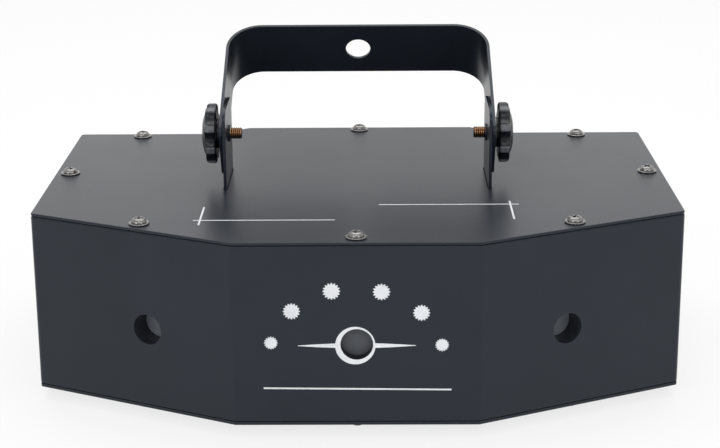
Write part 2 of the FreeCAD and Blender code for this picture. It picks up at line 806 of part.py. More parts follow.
def make_cover_screws():
    lid_row = [washer_screw(f"lid_screw_{index}", x, y, "lid_top", True)
               for index, (x, y) in enumerate(screw_places())]
    keep("lid_screws", group("lid_screws", lid_row))
    base_row = [washer_screw(f"base_screw_{index}", x, y, "foot_height", False)
                for index, (x, y) in enumerate(screw_places())]
    keep("base_screws", group("base_screws", base_row))


def small_screw(name, x, seat, z):
    """Pan-head screw driven from behind: its head stands on the seat towards +Y."""
    head = rod(f"{name}_head", "small_head/2", "small_head_height", (x, seat, z), ALONG_Y)
    thread = rod(f"{name}_thread", "small_thread/2", "small_length", (x, f"{seat} - small_length", z),
                 ALONG_Y)
    return join(name, [head, thread])


def make_feet():
    feet = []
    for index, (x, y) in enumerate(foot_places()):
        flat = cone(f"foot_edge_{index}", "foot_diameter/2 - foot_taper", "foot_diameter/2", "foot_taper",
                    (x, y, "0"))
        pad_part = rod(f"foot_pad_{index}", "foot_diameter/2", "foot_height - foot_taper",
                       (x, y, "foot_taper"))
        stem = rod(f"foot_stem_{index}", "foot_stem/2", "base_sheet", (x, y, "foot_height"))
        barb = cone(f"foot_barb_{index}", "foot_barb/2", "foot_stem/2", "foot_barb_height",
                    (x, y, "base_top"))
        feet.append(join(f"foot_{index}", [flat, pad_part, stem, barb]))
    return group("rubber_feet", feet)


# Yoke, ears and knobs, made on the right and mirrored to the left
def both_sides(name, item):
    keep(f"{name}_right", item)
    other = document.addObject("Part::Mirroring", f"{name}_left")
    other.Source = item
    other.Normal = Vector(1, 0, 0)
    keep(f"{name}_left", other)


def make_ear():
    plate = body("ear_plate")
    profile = sketch(plate, "ear_profile", "XZ_Plane")
    top = "lid_sheet + ear_height"
    polygon(profile, [
        ("ear_outside", "-ear_thick"), ("ear_outside", top), ("ear_inside", top), ("ear_inside", "0"),
        ("ear_inside - ear_foot", "0"), ("ear_inside - ear_foot", "-ear_thick"),
    ])
    pad(plate, profile, "ear_width", True)
    round_edges(plate, "ear_corners", "ear_corner",
                lambda edge: runs_along(edge, Vector(1, 0, 0)) and near(edge.CenterOfMass.z, top))
    place(plate, ("0", "pivot_y", "lid_under"))
    boss = rod("ear_boss_rod", "ear_boss/2", "ear_boss_length",
               ("ear_inside - ear_boss_length", "pivot_y", "pivot_z"), ALONG_X)
    hole = rod("ear_hole", "bolt_hole", "ear_thick + ear_boss_length + 2*overrun",
               ("ear_inside - ear_boss_length - overrun", "pivot_y", "pivot_z"), ALONG_X)
    return cut("ear_right", join("ear_blank", [plate, boss]), [hole])


def make_yoke():
    strap = body("yoke")
    profile = sketch(strap, "yoke_profile", "XZ_Plane")
    outer, inner = "yoke_width/2", "yoke_inside"
    high, low = "yoke_reach + strap_thick", "-strap_end"
    polygon(profile, [
        (f"-{outer}", low), (f"-{outer}", high), (outer, high), (outer, low),
        (inner, low), (inner, "yoke_reach"), (f"-{inner}", "yoke_reach"), (f"-{inner}", low),
    ])
    pad(strap, profile, "strap_width", True)
    across = Vector(0, 1, 0)
    round_edges(strap, "yoke_bends_outside", "yoke_bend",
                lambda edge: runs_along(edge, across) and near(edge.CenterOfMass.z, high))
    round_edges(strap, "yoke_bends_inside", "yoke_bend - strap_thick",
                lambda edge: runs_along(edge, across) and near(edge.CenterOfMass.z, "yoke_reach"))
    round_edges(strap, "yoke_ends", "strap_corner",
                lambda edge: runs_along(edge, Vector(1, 0, 0)) and near(edge.CenterOfMass.z, low))
    hanging = sketch(strap, "hanging_hole", "XY_Plane")
    circle(hanging, "0", "0", "hang_hole/2")
    pocket(strap, hanging)
    pivots = sketch(strap, "pivot_holes", "YZ_Plane")
    circle(pivots, "0", "0", "bolt_hole")
    pocket(strap, pivots)
    place(strap, ("0", "pivot_y", "pivot_z"), Rotation(Vector(1, 0, 0), -number("yoke_angle")))
    return strap


def make_knob():
    knob = body("knob_body")
    profile = sketch(knob, "knob_profile", "XZ_Plane")
    rim_top = "knob_hub_length + knob_thick"
    polygon(profile, [
        ("0", "0"), ("knob_hub/2", "0"), ("knob_hub/2", "knob_hub_length"),
        ("knob_diameter/2", "knob_hub_length"),
        ("knob_diameter/2", rim_top), ("knob_dome/2", rim_top),
        ("knob_dome_flat/2", f"{rim_top} + knob_dome_height"), ("0", f"{rim_top} + knob_dome_height"),
    ])
    turned = knob.newObject("PartDesign::Revolution", "knob_turned")
    turned.Profile = profile
    turned.ReferenceAxis = (profile, ["V_Axis"])
    document.recompute()
    hollow = sketch(knob, "knob_scallop", "XY_Plane")
    circle(hollow, "knob_diameter/2 + scallop_radius - scallop_depth", "0", "scallop_radius")
    scallop = pocket(knob, hollow)
    lobes = knob.newObject("PartDesign::PolarPattern", "knob_lobes")
    lobes.Originals = [scallop]
    lobes.Axis = (hollow, ["N_Axis"])
    lobes.Occurrences = LOBES
    knob.Tip = lobes
    document.recompute()
    levels = [number("knob_hub_length"), number(rim_top)]
    inside = number("(knob_diameter/2 - scallop_depth + knob_dome/2)/2")

    def on_rim(edge):
        middle = edge.valueAt((edge.FirstParameter + edge.LastParameter) / 2)
        outward = Vector(middle.x, middle.y, 0).Length
        return any(same(middle.z, level) for level in levels) and outward > inside

    round_edges(knob, "knob_edges", "knob_round", on_rim)
    socket = rod("knob_socket_cut", "bolt_hole", "knob_socket + overrun", ("0", "0", "-overrun"))
    finished = cut("knob_right", knob, [socket])
    place(finished, ("knob_start", "pivot_y", "pivot_z"), ALONG_X)
    return finished


def make_bolt():
    inner_end = "ear_inside - bolt_reach"
    tip = cone("bolt_tip", "bolt_diameter/2 - bolt_chamfer", "bolt_diameter/2", "bolt_chamfer",
               (inner_end, "pivot_y", "pivot_z"), ALONG_X)
    length = f"knob_start + knob_socket - ({inner_end}) - bolt_chamfer"
    shank = rod("bolt_shank", "bolt_diameter/2", length,
                (f"{inner_end} + bolt_chamfer", "pivot_y", "pivot_z"), ALONG_X)
    return join("bolt_right", [tip, shank])


def make_washer():
    start = "yoke_width/2"
    disc = rod("washer_disc", "washer_diameter/2", "washer_thick", (start, "pivot_y", "pivot_z"), ALONG_X)
    hole = rod("washer_hole", "bolt_hole", "washer_thick + 2*overrun",
               (f"{start} - overrun", "pivot_y", "pivot_z"), ALONG_X)
    return cut("washer_right", disc, [hole])


# One optical head: X along its facet, +Y into the housing, origin on the outer face at the beam
def make_tube(name, recess):
    length = f"{recess} + pane_thick - wall"
    outside = rod(f"tube_{name}", "aperture_diameter/2 + tube_wall", length, ("0", "wall", "0"), ALONG_Y)
    bore = rod(f"tube_bore_{name}", "aperture_diameter/2", f"{length} + 2*overrun",
               ("0", "wall - overrun", "0"), ALONG_Y)
    seat = rod(f"tube_seat_{name}", "aperture_diameter/2 + pane_lap + pane_clearance", "pane_thick + overrun",
               ("0", recess, "0"), ALONG_Y)
    return cut(f"aperture_tube_{name}", outside, [bore, seat])


def make_window(name, recess):
    pane = rod(f"pane_{name}", "aperture_diameter/2 + pane_lap", "pane_thick", ("0", recess, "0"), ALONG_Y)
    return group(f"window_{name}", [pane])


def make_head_base(name):
    floor = box(f"slab_{name}", ("slab_left + slab_right", "slab_front + slab_rear", "bracket_slab"),
                ("-slab_left", "mirror_depth - slab_front", "slab_under"))
    seat_top = "-mirror_drop - module_size/2"
    seat = box(f"module_seat_{name}", ("module_length", "module_size", f"{seat_top} - (slab_top)"),
               ("-module_gap - module_length", "mirror_depth - module_size/2", "slab_top"))
    wall_width = "bracket_half + bracket_gap + bracket_wall"
    pan_wall = box(f"pan_wall_{name}",
                   (wall_width, "bracket_wall", "bracket_half - mirror_drop - (slab_top)"),
                   ("-bracket_half", "bracket_face", "slab_top"))
    tilt_wall = box(f"tilt_wall_{name}", ("bracket_wall", wall_width, "bracket_half - (slab_top)"),
                    ("bracket_gap", "mirror_depth - bracket_half", "slab_top"))
    hole = "motor_boss/2 + boss_clearance"
    pan_hole = rod(f"pan_hole_{name}", hole, "bracket_wall + 2*overrun",
                   ("0", "bracket_face - overrun", "-mirror_drop"), ALONG_Y)
    tilt_hole = rod(f"tilt_hole_{name}", hole, "bracket_wall + 2*overrun",
                    ("bracket_gap - overrun", "mirror_depth", "0"), ALONG_X)
    blank = join(f"bracket_{name}", [floor, seat, pan_wall, tilt_wall])
    return cut(f"head_base_{name}", blank, [pan_hole, tilt_hole])


def make_laser_module(name):
    start = "-module_gap - module_length"
    low = "-mirror_drop - module_size/2"
    block = box(f"module_block_{name}", ("module_length", "module_size", "module_size"),
                (start, "mirror_depth - module_size/2", low))
    barrel = rod(f"barrel_{name}", "barrel_diameter/2", "barrel_length",
                 ("-module_gap", "mirror_depth", "-mirror_drop"), ALONG_X)
    slots = [box(f"fin_slot_{name}_{index}", ("fin_slot", "module_size + 2*overrun", "fin_depth + overrun"),
                 (f"{start} + {index + 1}*fin_pitch", "mirror_depth - module_size/2 - overrun",
                  f"{low} + module_size - fin_depth"))
             for index in range(FINS)]
    bore = rod(f"barrel_bore_{name}", "barrel_bore/2", "barrel_length + overrun",
               ("-module_gap", "mirror_depth", "-mirror_drop"), ALONG_X)
    return cut(f"laser_module_{name}", join(f"module_{name}", [block, barrel]), slots + [bore])


def make_motor(label, name):
    """Motor along its own +Z, with its mounting face at zero and its boss towards -Z."""
    can = rod(f"{label}_can_{name}", "motor_diameter/2", "motor_length", ("0", "0", "0"))
    boss = rod(f"{label}_boss_{name}", "motor_boss/2", "bracket_wall", ("0", "0", "-bracket_wall"))
    bore = rod(f"{label}_bore_{name}", "shaft_diameter/2 + shaft_clearance",
               "bracket_wall + shaft_seat + overrun", ("0", "0", "-bracket_wall - overrun"))
    return cut(f"{label}_motor_{name}", join(f"{label}_solid_{name}", [can, boss]), [bore])


def make_mirror(label, name):
    """Mirror on its shaft, which runs along its own +Z from the mirror's middle to the motor."""
    glass = box(f"{label}_glass_{name}", ("mirror_width", "mirror_thick", "mirror_length"),
                ("-mirror_width/2", "-mirror_thick/2", "-mirror_length/2"))
    clamp_start = "mirror_length/2 - holder_lap"
    clamp = rod(f"{label}_clamp_{name}", "holder_diameter/2", "holder_length", ("0", "0", clamp_start))
    shaft_start = f"{clamp_start} + holder_length"
    shaft = rod(f"{label}_shaft_{name}", "shaft_diameter/2",
                f"bracket_gap + bracket_wall + shaft_seat - ({shaft_start})", ("0", "0", shaft_start))
    return join(f"{label}_mirror_{name}", [glass, clamp, shaft])


def seat_in_head(item, at, own_turn, head_at, head_angle):
    """Places a piece that has its own spot and turn inside a head."""
    head = Placement(spot(*head_at), Rotation(Vector(0, 0, 1), head_angle))
    item.Placement = head.multiply(Placement(spot(*at), own_turn))


def make_heads():
    home = ("0", "0", "0")
    mirror_turn = Rotation(Vector(0, 0, 1), number("mirror_angle"))
    for name, at, angle in head_places():
        recess = "centre_recess" if name == "centre" else "side_recess"
        pieces = {
            "aperture_tube": (make_tube(name, recess), home, ALONG_Z),
            "window": (make_window(name, recess), home, ALONG_Z),
            "head_base": (make_head_base(name), home, ALONG_Z),
            "laser_module": (make_laser_module(name), home, ALONG_Z),
            "pan_motor": (make_motor("pan", name), ("0", "bracket_face + bracket_wall", "-mirror_drop"),
                          ALONG_Y),
            "pan_mirror": (make_mirror("pan", name), ("0", "mirror_depth", "-mirror_drop"),
                           ALONG_Y * mirror_turn),
            "tilt_motor": (make_motor("tilt", name), ("bracket_gap + bracket_wall", "mirror_depth", "0"),
                           ALONG_X),
            "tilt_mirror": (make_mirror("tilt", name), ("0", "mirror_depth", "0"), ALONG_X * mirror_turn),
        }
        for label, (item, spot_in_head, turn) in pieces.items():
            seat_in_head(item, spot_in_head, turn, at, angle)
            keep(f"{label}_{name}", item)


# Electronics on the base
def make_power_supply():
    """Sheet case, open towards the front, with a board, a transformer and two capacitors in it."""
    left = "supply_x - supply_width/2"
    case = box("supply_case", ("supply_width", "supply_depth", "supply_height"),
               (left, "supply_y", "base_top"))
    room_width = "supply_width - 2*supply_sheet"
    room = box("supply_room",
               (room_width, "supply_depth - supply_sheet + overrun", "supply_height - 2*supply_sheet"),
               (f"{left} + supply_sheet", "supply_y - overrun", "base_top + supply_sheet"))
    floor = "base_top + supply_sheet + supply_lift"
    board = box("supply_board", (room_width, "supply_depth - supply_sheet", "board_thick"),
                (f"{left} + supply_sheet", "supply_y", floor))
    top = f"{floor} + board_thick"
    middle = "supply_y + supply_depth/2"
    terminals = box("supply_terminals", ("supply_width/2", "supply_terminal", "supply_terminal"),
                    ("supply_x - supply_width/4", "supply_y", top))
    transformer = box("supply_transformer", ("transformer_size", "transformer_size", "transformer_height"),
                      ("supply_x - transformer_size/2", f"{middle} - transformer_size/2", top))
    capacitors = [rod(f"capacitor{sign}", "capacitor_diameter/2", "transformer_height",
                      (f"supply_x + {sign}supply_width/3", middle, top)) for sign in ("-", "")]
    return join("power_supply",
                [cut("supply_shell", case, [room]), board, terminals, transformer] + capacitors)


def board_corners():
    reach_x, reach_y = "board_width/2 - standoff_inset", "board_depth - standoff_inset"
    return [(f"board_x + {sign}({reach_x})", f"board_y + {y}")
            for sign in ("-", "") for y in ("standoff_inset", f"({reach_y})")]


def make_boards():
    board = box("board_sheet", ("board_width", "board_depth", "board_thick"),
                ("board_x - board_width/2", "board_y", "board_z"))
    chip = box("board_chip", ("chip_size", "chip_size", "chip_height"),
               ("board_x - chip_size/2", "board_y + standoff_inset", "board_z + board_thick"))
    drivers = [box(f"driver_{index}", ("driver_width", "driver_width", "driver_height"),
                   (f"board_x - driver_width/2 + ({index} - {DRIVERS // 2})*driver_pitch",
                    "board_y + board_depth - standoff_inset - driver_width", "board_z + board_thick"))
               for index in range(DRIVERS)]
    keep("main_board", join("main_board", [board, chip] + drivers))
    posts = [rod(f"standoff_{index}", "standoff_diameter/2", "standoff_height", (x, y, "base_top"))
             for index, (x, y) in enumerate(board_corners())]
    keep("board_standoffs", group("board_standoffs", posts))


# Fan on the rear bump
def fan_holes():
    half = "fan_hole_pitch/2"
    return [(f"fan_x + {a}{half}", f"rear_z + {b}{half}") for a in ("-", "") for b in ("-", "")]


def make_fan():
    front = "bump_y - wall - fan_depth"
    shell = middle_box("fan_block", ("fan_size", "fan_depth", "fan_size"), ("fan_x", front, "rear_z"))
    duct = rod("fan_duct", "fan_bore/2", "fan_depth + 2*overrun", ("fan_x", f"{front} - overrun", "rear_z"),
               ALONG_Y)
    holes = [rod(f"fan_hole_{index}", "small_hole", "fan_depth + 2*overrun", (x, f"{front} - overrun", z),
                 ALONG_Y)
             for index, (x, z) in enumerate(fan_holes())]
    ring_part = cut("fan_ring", shell, [duct] + holes)
    carrier = rod("fan_carrier", "fan_hub/2", "fan_strut", ("fan_x", front, "rear_z"), ALONG_Y)
    struts = [middle_box("fan_strut_flat", ("fan_bore + fan_strut", "fan_strut", "fan_strut"),
                         ("fan_x", front, "rear_z")),
              middle_box("fan_strut_upright", ("fan_strut", "fan_strut", "fan_bore + fan_strut"),
                         ("fan_x", front, "rear_z"))]
    bearing = rod("fan_bearing", "shaft_diameter/2 + shaft_clearance", "fan_strut + 2*overrun",
                  ("fan_x", f"{front} - overrun", "rear_z"), ALONG_Y)
    keep("fan_frame", cut("fan_frame", join("fan_frame_blank", [ring_part, carrier] + struts), [bearing]))
    make_rotor(front)
    make_guard()


def make_rotor(front):
    start = f"{front} + fan_strut + fan_axial_gap"
    length = "fan_depth - fan_strut - 2*fan_axial_gap"
    hub = rod("rotor_hub", "fan_hub/2", length, ("fan_x", start, "rear_z"), ALONG_Y)
    shaft = rod("rotor_shaft", "shaft_diameter/2", "fan_strut + fan_axial_gap", ("fan_x", front, "rear_z"),
                ALONG_Y)
    blades = []
    for index in range(BLADES):
        blade = box(f"blade_{index}",
                    ("blade_thick", f"({length})*cos(blade_angle)", "fan_bore/2 - fan_tip_gap"),
                    ("-blade_thick/2", f"-({length})*cos(blade_angle)/2", "0"))
        tilted = group(f"blade_tilted_{index}", [blade])
        tilted.Placement = Placement(Vector(), Rotation(Vector(0, 0, 1), number("blade_angle")))
        turned = group(f"blade_turned_{index}", [tilted])
        middle = f"{start} + ({length})/2"
        turned.Placement = Placement(spot("fan_x", middle, "rear_z"),
                                     Rotation(Vector(0, 1, 0), 4 * QUARTER_TURN * index / BLADES))
        blades.append(turned)
    keep("fan_rotor", join("fan_rotor", [hub, shaft] + blades))


def make_guard():
    seat = "bump_y"
    rings = []
    for index in range(GUARD_RINGS):
        radius = f"fan_bore/2 + guard_wire/2 - {index}*guard_pitch"
        outside = rod(f"guard_out_{index}", radius, "guard_thick", ("fan_x", seat, "rear_z"), ALONG_Y)
        inside = rod(f"guard_in_{index}", f"{radius} - guard_wire", "guard_thick + 2*overrun",
                     ("fan_x", f"{seat} - overrun", "rear_z"), ALONG_Y)
        rings.append(cut(f"guard_ring_{index}", outside, [inside]))
    reach = "sqrt(2)*fan_hole_pitch/2"
    spokes = []
    for index in range(2):
        spoke = middle_box(f"guard_spoke_{index}", (f"2*({reach})", "guard_thick", "guard_wire"),
                           ("0", "0", "0"))
        turned = group(f"guard_spoke_turned_{index}", [spoke])
        turned.Placement = Placement(spot("fan_x", seat, "rear_z"),
                                     Rotation(Vector(0, 1, 0), QUARTER_TURN * (index + 1 / 2)))
        spokes.append(turned)
    lugs = [rod(f"guard_lug_{index}", "guard_lug/2", "guard_thick", (x, seat, z), ALONG_Y)
            for index, (x, z) in enumerate(fan_holes())]
    holes = [rod(f"guard_hole_{index}", "small_hole", "guard_thick + 2*overrun", (x, f"{seat} - overrun", z),
                 ALONG_Y)
             for index, (x, z) in enumerate(fan_holes())]
    keep("fan_guard", cut("fan_guard", join("guard_blank", rings + spokes + lugs), holes))
    screws = [small_screw(f"fan_screw_{index}", x, f"{seat} + guard_thick", z)
              for index, (x, z) in enumerate(fan_holes())]
    keep("fan_screws", group("fan_screws", screws))


# Mains inlet and switch on the left rear flat
def make_inlet():
    flange = middle_box("inlet_flange", ("inlet_width", "fitting_flange", "inlet_height"),
                        ("-inlet_x", "flat_y", "inlet_z"))
    inner = middle_box("inlet_body", ("inlet_body_width", "inlet_body_depth", "inlet_body_height"),
                       ("-inlet_x", "flat_y - inlet_body_depth", "inlet_z"))
    mouth = "flat_y + fitting_flange"
    socket = middle_box("inlet_socket", ("socket_width", "socket_depth + overrun", "socket_height"),
                        ("-inlet_x", f"{mouth} - socket_depth", "inlet_z"))
    shell = cut("inlet_shell", join("inlet_blank", [flange, inner]), [socket])
    spots = [("-blade_pitch", "-blade_raise"), ("0", "blade_raise"), ("blade_pitch", "-blade_raise")]
    pins = [middle_box(f"inlet_pin_{index}", ("blade_sheet", "blade_length", "blade_width"),
                       (f"-inlet_x + {shift}", f"{mouth} - socket_depth", f"inlet_z + {raised}"))
            for index, (shift, raised) in enumerate(spots)]
    return group("power_inlet", [shell] + pins)


def make_switch():
    flange = middle_box("switch_flange", ("switch_width", "fitting_flange", "switch_height"),
                        ("-inlet_x", "flat_y", "switch_z"))
    inner = middle_box("switch_body", ("switch_body_width", "switch_body_depth", "switch_body_height"),
                       ("-inlet_x", "flat_y - switch_body_depth", "switch_z"))
    room = middle_box("switch_room",
                      ("rocker_width + 2*rocker_gap", "rocker_depth + fitting_flange + 2*overrun",
                       "rocker_height + 4*rocker_gap"),
                      ("-inlet_x", "flat_y - rocker_depth - overrun", "switch_z"))
    pin_hole = rod("switch_pin_hole", "rocker_pin/2 + shaft_clearance",
                   "rocker_width + 2*rocker_gap + 2*rocker_pin_length",
                   ("-inlet_x - rocker_width/2 - rocker_gap - rocker_pin_length", "rocker_y", "switch_z"),
                   ALONG_X)
    keep("rocker_frame", cut("rocker_frame", join("switch_blank", [flange, inner]), [room, pin_hole]))
    rocker = body("rocker_key")
    profile = sketch(rocker, "rocker_profile", "YZ_Plane")
    inner_end = "rocker_pin_depth - rocker_depth"
    outer = "rocker_pin_depth + fitting_flange"
    polygon(profile, [
        (inner_end, "-rocker_height/2 + rocker_waist"),
        (f"{outer} + rocker_stand - rocker_waist", "-rocker_height/2"),
        (f"{outer} + rocker_waist/2", "0"), (f"{outer} + rocker_stand - rocker_waist", "rocker_height/2"),
        (inner_end, "rocker_height/2 - rocker_waist"),
    ])
    pad(rocker, profile, "rocker_width", True)
    pin = rod("rocker_pin_rod", "rocker_pin/2",
              "rocker_width + 2*rocker_gap + 2*rocker_pin_length - 2*shaft_clearance",
              ("-rocker_width/2 - rocker_gap - rocker_pin_length + shaft_clearance", "0", "0"), ALONG_X)
    finished = join("rocker", [rocker, pin])
    place(finished, ("-inlet_x", "rocker_y", "switch_z"), Rotation(Vector(1, 0, 0), number("rocker_tilt")))
    keep("rocker", finished)


# Data sockets on the right rear flat
def dmx_places():
    return [("dmx_in", "(rear_z + dmx_pitch/2)"), ("dmx_out", "(rear_z - dmx_pitch/2)")]


def dmx_holes(z):
    return [("dmx_x - dmx_screw_x", f"{z} + dmx_screw_z"), ("dmx_x + dmx_screw_x", f"{z} - dmx_screw_z")]


def make_dmx_sockets():
    screws = []
    mouth = "flat_y + fitting_flange"
    for name, z in dmx_places():
        flange = middle_box(f"{name}_flange", ("dmx_flange_width", "fitting_flange", "dmx_flange_height"),
                            ("dmx_x", "flat_y", z))
        barrel = rod(f"{name}_barrel", "dmx_body/2", "dmx_depth", ("dmx_x", "flat_y - dmx_depth", z), ALONG_Y)
        room = rod(f"{name}_room", "dmx_bore/2", "dmx_bore_depth + overrun",
                   ("dmx_x", f"{mouth} - dmx_bore_depth", z), ALONG_Y)
        holes = [rod(f"{name}_hole_{index}", "small_hole", "fitting_flange + 2*overrun",
                     (x, "flat_y - overrun", hole_z), ALONG_Y)
                 for index, (x, hole_z) in enumerate(dmx_holes(z))]
        shell = cut(f"{name}_shell", join(f"{name}_blank", [flange, barrel]), [room] + holes)
        keep(name, group(name, [shell] + dmx_contacts(name, z, f"{mouth} - dmx_bore_depth")))
        screws += [small_screw(f"{name}_screw_{index}", x, mouth, hole_z)
                   for index, (x, hole_z) in enumerate(dmx_holes(z))]
    keep("socket_screws", group("socket_screws", screws))


def dmx_contacts(name, z, floor):
    """Three pins on the input, and a core with three holes on the output."""
    turns = [QUARTER_TURN * step for step in (0, 1, 2)]
    places = [(f"dmx_x + dmx_pin_circle/2*cos({turn} deg)",
               f"{z} - dmx_pin_circle/2*sin({turn} deg)") for turn in turns]
    rods = [rod(f"{name}_contact_{index}", "dmx_pin/2", "dmx_pin_length", (x, floor, pin_z), ALONG_Y)
            for index, (x, pin_z) in enumerate(places)]
    if name == "dmx_in":
        return rods
    core = rod(f"{name}_core_rod", "dmx_core/2", "dmx_pin_length", ("dmx_x", floor, z), ALONG_Y)
    return [cut(f"{name}_core", core, rods)]


# Display and menu buttons on the rear bump
def button_places():
    names = ("button_menu", "button_down", "button_up", "button_enter")
    middle = (len(names) - 1) / 2
    return [(name, f"-display_x + ({middle - index})*button_pitch") for index, name in enumerate(names)]


def make_display():
    lip_width, lip_height = "display_width + 2*display_lip", "display_height + 2*display_lip"
    lip = middle_box("display_lip_plate", (lip_width, "display_lip_thick", lip_height),
                     ("-display_x", "bump_y", "display_z"))
    pane = middle_box("display_pane", ("display_width", "display_depth", "display_height"),
                      ("-display_x", "bump_y - display_depth", "display_z"))
    keep("display_window", join("display_window", [lip, pane]))


def make_buttons():
    for name, x in button_places():
        cap = rod(f"{name}_cap", "button_diameter/2", "button_stand + wall",
                  (x, "bump_y - wall", "button_z"), ALONG_Y)
        collar = rod(f"{name}_collar", "button_collar/2", "button_collar_thick",
                     (x, "bump_y - wall - button_collar_thick", "button_z"), ALONG_Y)
        keep(name, join(name, [cap, collar]))


def make_display_board():
    board = middle_box("panel_board_sheet", ("panel_board_width", "board_thick", "panel_board_height"),
                       ("-display_x", "panel_board_y - board_thick", "rear_z"))
    key_length = "panel_board_gap - button_collar_thick - button_travel - key_gap"
    keys = [middle_box(f"{name}_key", ("key_size", key_length, "key_size"), (x, "panel_board_y", "button_z"))
            for name, x in button_places()]
    reach_x, reach_z = "panel_board_width/2 - post_inset", "panel_board_height/2 - post_inset"
    posts = [rod(f"panel_post_{a}{b}", "post_diameter/2", "panel_board_gap",
                 (f"-display_x + {a}({reach_x})", "panel_board_y", f"rear_z + {b}({reach_z})"), ALONG_Y)
             for a in ("-", "") for b in ("-", "")]
    digits = middle_box("panel_digits",
                        ("display_width", "panel_board_gap + wall - display_depth", "display_height"),
                        ("-display_x", "panel_board_y", "display_z"))
    keep("display_board", join("display_board", [board, digits] + keys + posts))


# The whole projector
keep("base_plate", make_base())
keep("lid", make_lid())
keep("front_shell", make_front_shell())
keep("rear_panel", make_rear_panel())
make_cover_screws()
keep("rubber_feet", make_feet())
both_sides("ear", make_ear())
keep("yoke", make_yoke())
both_sides("knob", make_knob())
both_sides("bolt", make_bolt())
both_sides("washer", make_washer())
make_heads()
keep("power_supply", make_power_supply())
make_boards()
make_fan()
keep("power_inlet", make_inlet())
make_switch()
make_dmx_sockets()
make_display()
make_buttons()
make_display_board()
document.recompute()

# Every object has to be sound before anything is written
for item in document.Objects:
    if "Invalid" in item.State or "Error" in item.State:
        raise RuntimeError(f"{item.Label} failed: {item.State}")
for name, item in parts.items():
    if item.Shape.isNull() or not item.Shape.isValid():
        raise RuntimeError(f"{name} has no sound shape")

os.makedirs("parts", exist_ok=True)
for name, item in parts.items():
    item.Shape.exportStep(f"parts/{name}.step")
print(f"{len(parts)} parts")
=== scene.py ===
import json
import math

import bmesh
import bpy
from mathutils import Matrix, Vector


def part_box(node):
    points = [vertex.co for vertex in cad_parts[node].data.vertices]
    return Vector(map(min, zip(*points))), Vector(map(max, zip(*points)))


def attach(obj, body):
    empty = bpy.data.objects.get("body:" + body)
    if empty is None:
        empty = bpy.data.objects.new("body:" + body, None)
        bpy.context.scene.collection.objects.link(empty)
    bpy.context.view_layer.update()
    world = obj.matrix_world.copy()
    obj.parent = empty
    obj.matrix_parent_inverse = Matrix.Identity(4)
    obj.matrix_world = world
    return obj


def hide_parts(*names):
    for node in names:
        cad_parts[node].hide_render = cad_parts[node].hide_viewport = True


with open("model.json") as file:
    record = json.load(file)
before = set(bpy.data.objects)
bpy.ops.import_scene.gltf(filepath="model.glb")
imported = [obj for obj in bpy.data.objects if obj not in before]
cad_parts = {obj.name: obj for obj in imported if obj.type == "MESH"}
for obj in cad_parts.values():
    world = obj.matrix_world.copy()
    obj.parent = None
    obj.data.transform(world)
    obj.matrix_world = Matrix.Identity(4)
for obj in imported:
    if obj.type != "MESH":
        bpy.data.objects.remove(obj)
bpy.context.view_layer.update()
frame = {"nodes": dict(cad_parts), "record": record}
nodes = frame["nodes"]
scene = bpy.context.scene
MM = 0.001


# Shader helpers
EVEN = (1, 1, 1)
NOISE_ROUGHNESS = 0.6
RELIEF_DETAIL = 3.0
DRIFT_DETAIL = 5.0
RAMP_ENDS = (0.3, 0.7)
BEVEL_SAMPLES = 6


def new_material(name, color, roughness, metallic=0.0, level=0.5):
    """A material and its Principled shader."""
    material = bpy.data.materials.new(name)
    material.use_nodes = True
    shader = material.node_tree.nodes["Principled BSDF"]
    shader.inputs["Base Color"].default_value = (*color, 1)
    shader.inputs["Roughness"].default_value = roughness
    shader.inputs["Metallic"].default_value = metallic
    shader.inputs["Specular IOR Level"].default_value = level
    return material, shader


def add_node(owner, kind, **settings):
    """A shader node with its sockets and settings."""
    node = owner.node_tree.nodes.new(kind)
    for key, value in settings.items():
        if key in node.inputs:
            node.inputs[key].default_value = value
        else:
            setattr(node, key, value)
    return node


def link(owner, output, target):
    owner.node_tree.links.new(output, target)


def object_noise(material, scale, detail, stretch=EVEN):
    """Noise in the part's own metres, so that it rides with the piece."""
    coordinates = add_node(material, "ShaderNodeTexCoord")
    mapping = add_node(material, "ShaderNodeMapping", Scale=stretch)
    link(material, coordinates.outputs["Object"], mapping.inputs["Vector"])
    noise = add_node(material, "ShaderNodeTexNoise", Scale=scale, Detail=detail, Roughness=NOISE_ROUGHNESS)
    link(material, mapping.outputs["Vector"], noise.inputs["Vector"])
    return noise.outputs["Fac"]


def ramp(material, source, low, high):
    """Colour between low and high over the middle of a noise."""
    node = add_node(material, "ShaderNodeValToRGB")
    for element, position, color in zip(node.color_ramp.elements, RAMP_ENDS, (low, high)):
        element.position = position
        element.color = (*color, 1)
    link(material, source, node.inputs["Fac"])
    return node.outputs["Color"]


def relief(material, shader, scale, depth, strength, edge=None, stretch=EVEN):
    """Fine surface relief, over edges that are rounded where an edge radius is given."""
    bump = add_node(material, "ShaderNodeBump", Strength=strength, Distance=depth)
    link(material, object_noise(material, scale, RELIEF_DETAIL, stretch), bump.inputs["Height"])
    if edge:
        bevel = add_node(material, "ShaderNodeBevel", samples=BEVEL_SAMPLES, Radius=edge)
        link(material, bevel.outputs["Normal"], bump.inputs["Normal"])
    link(material, bump.outputs["Normal"], shader.inputs["Normal"])


def drift(material, shader, scale, colors, roughness, stretch=EVEN):
    """Slow drift between two colours and two values of roughness over a surface."""
    noise = object_noise(material, scale, DRIFT_DETAIL, stretch)
    link(material, ramp(material, noise, *colors), shader.inputs["Base Color"])
    spread = add_node(material, "ShaderNodeMapRange")
    spread.inputs["To Min"].default_value, spread.inputs["To Max"].default_value = roughness
    link(material, noise, spread.inputs["Value"])
    link(material, spread.outputs["Result"], shader.inputs["Roughness"])


def scaled(color, factor):
    return tuple(factor * channel for channel in color)


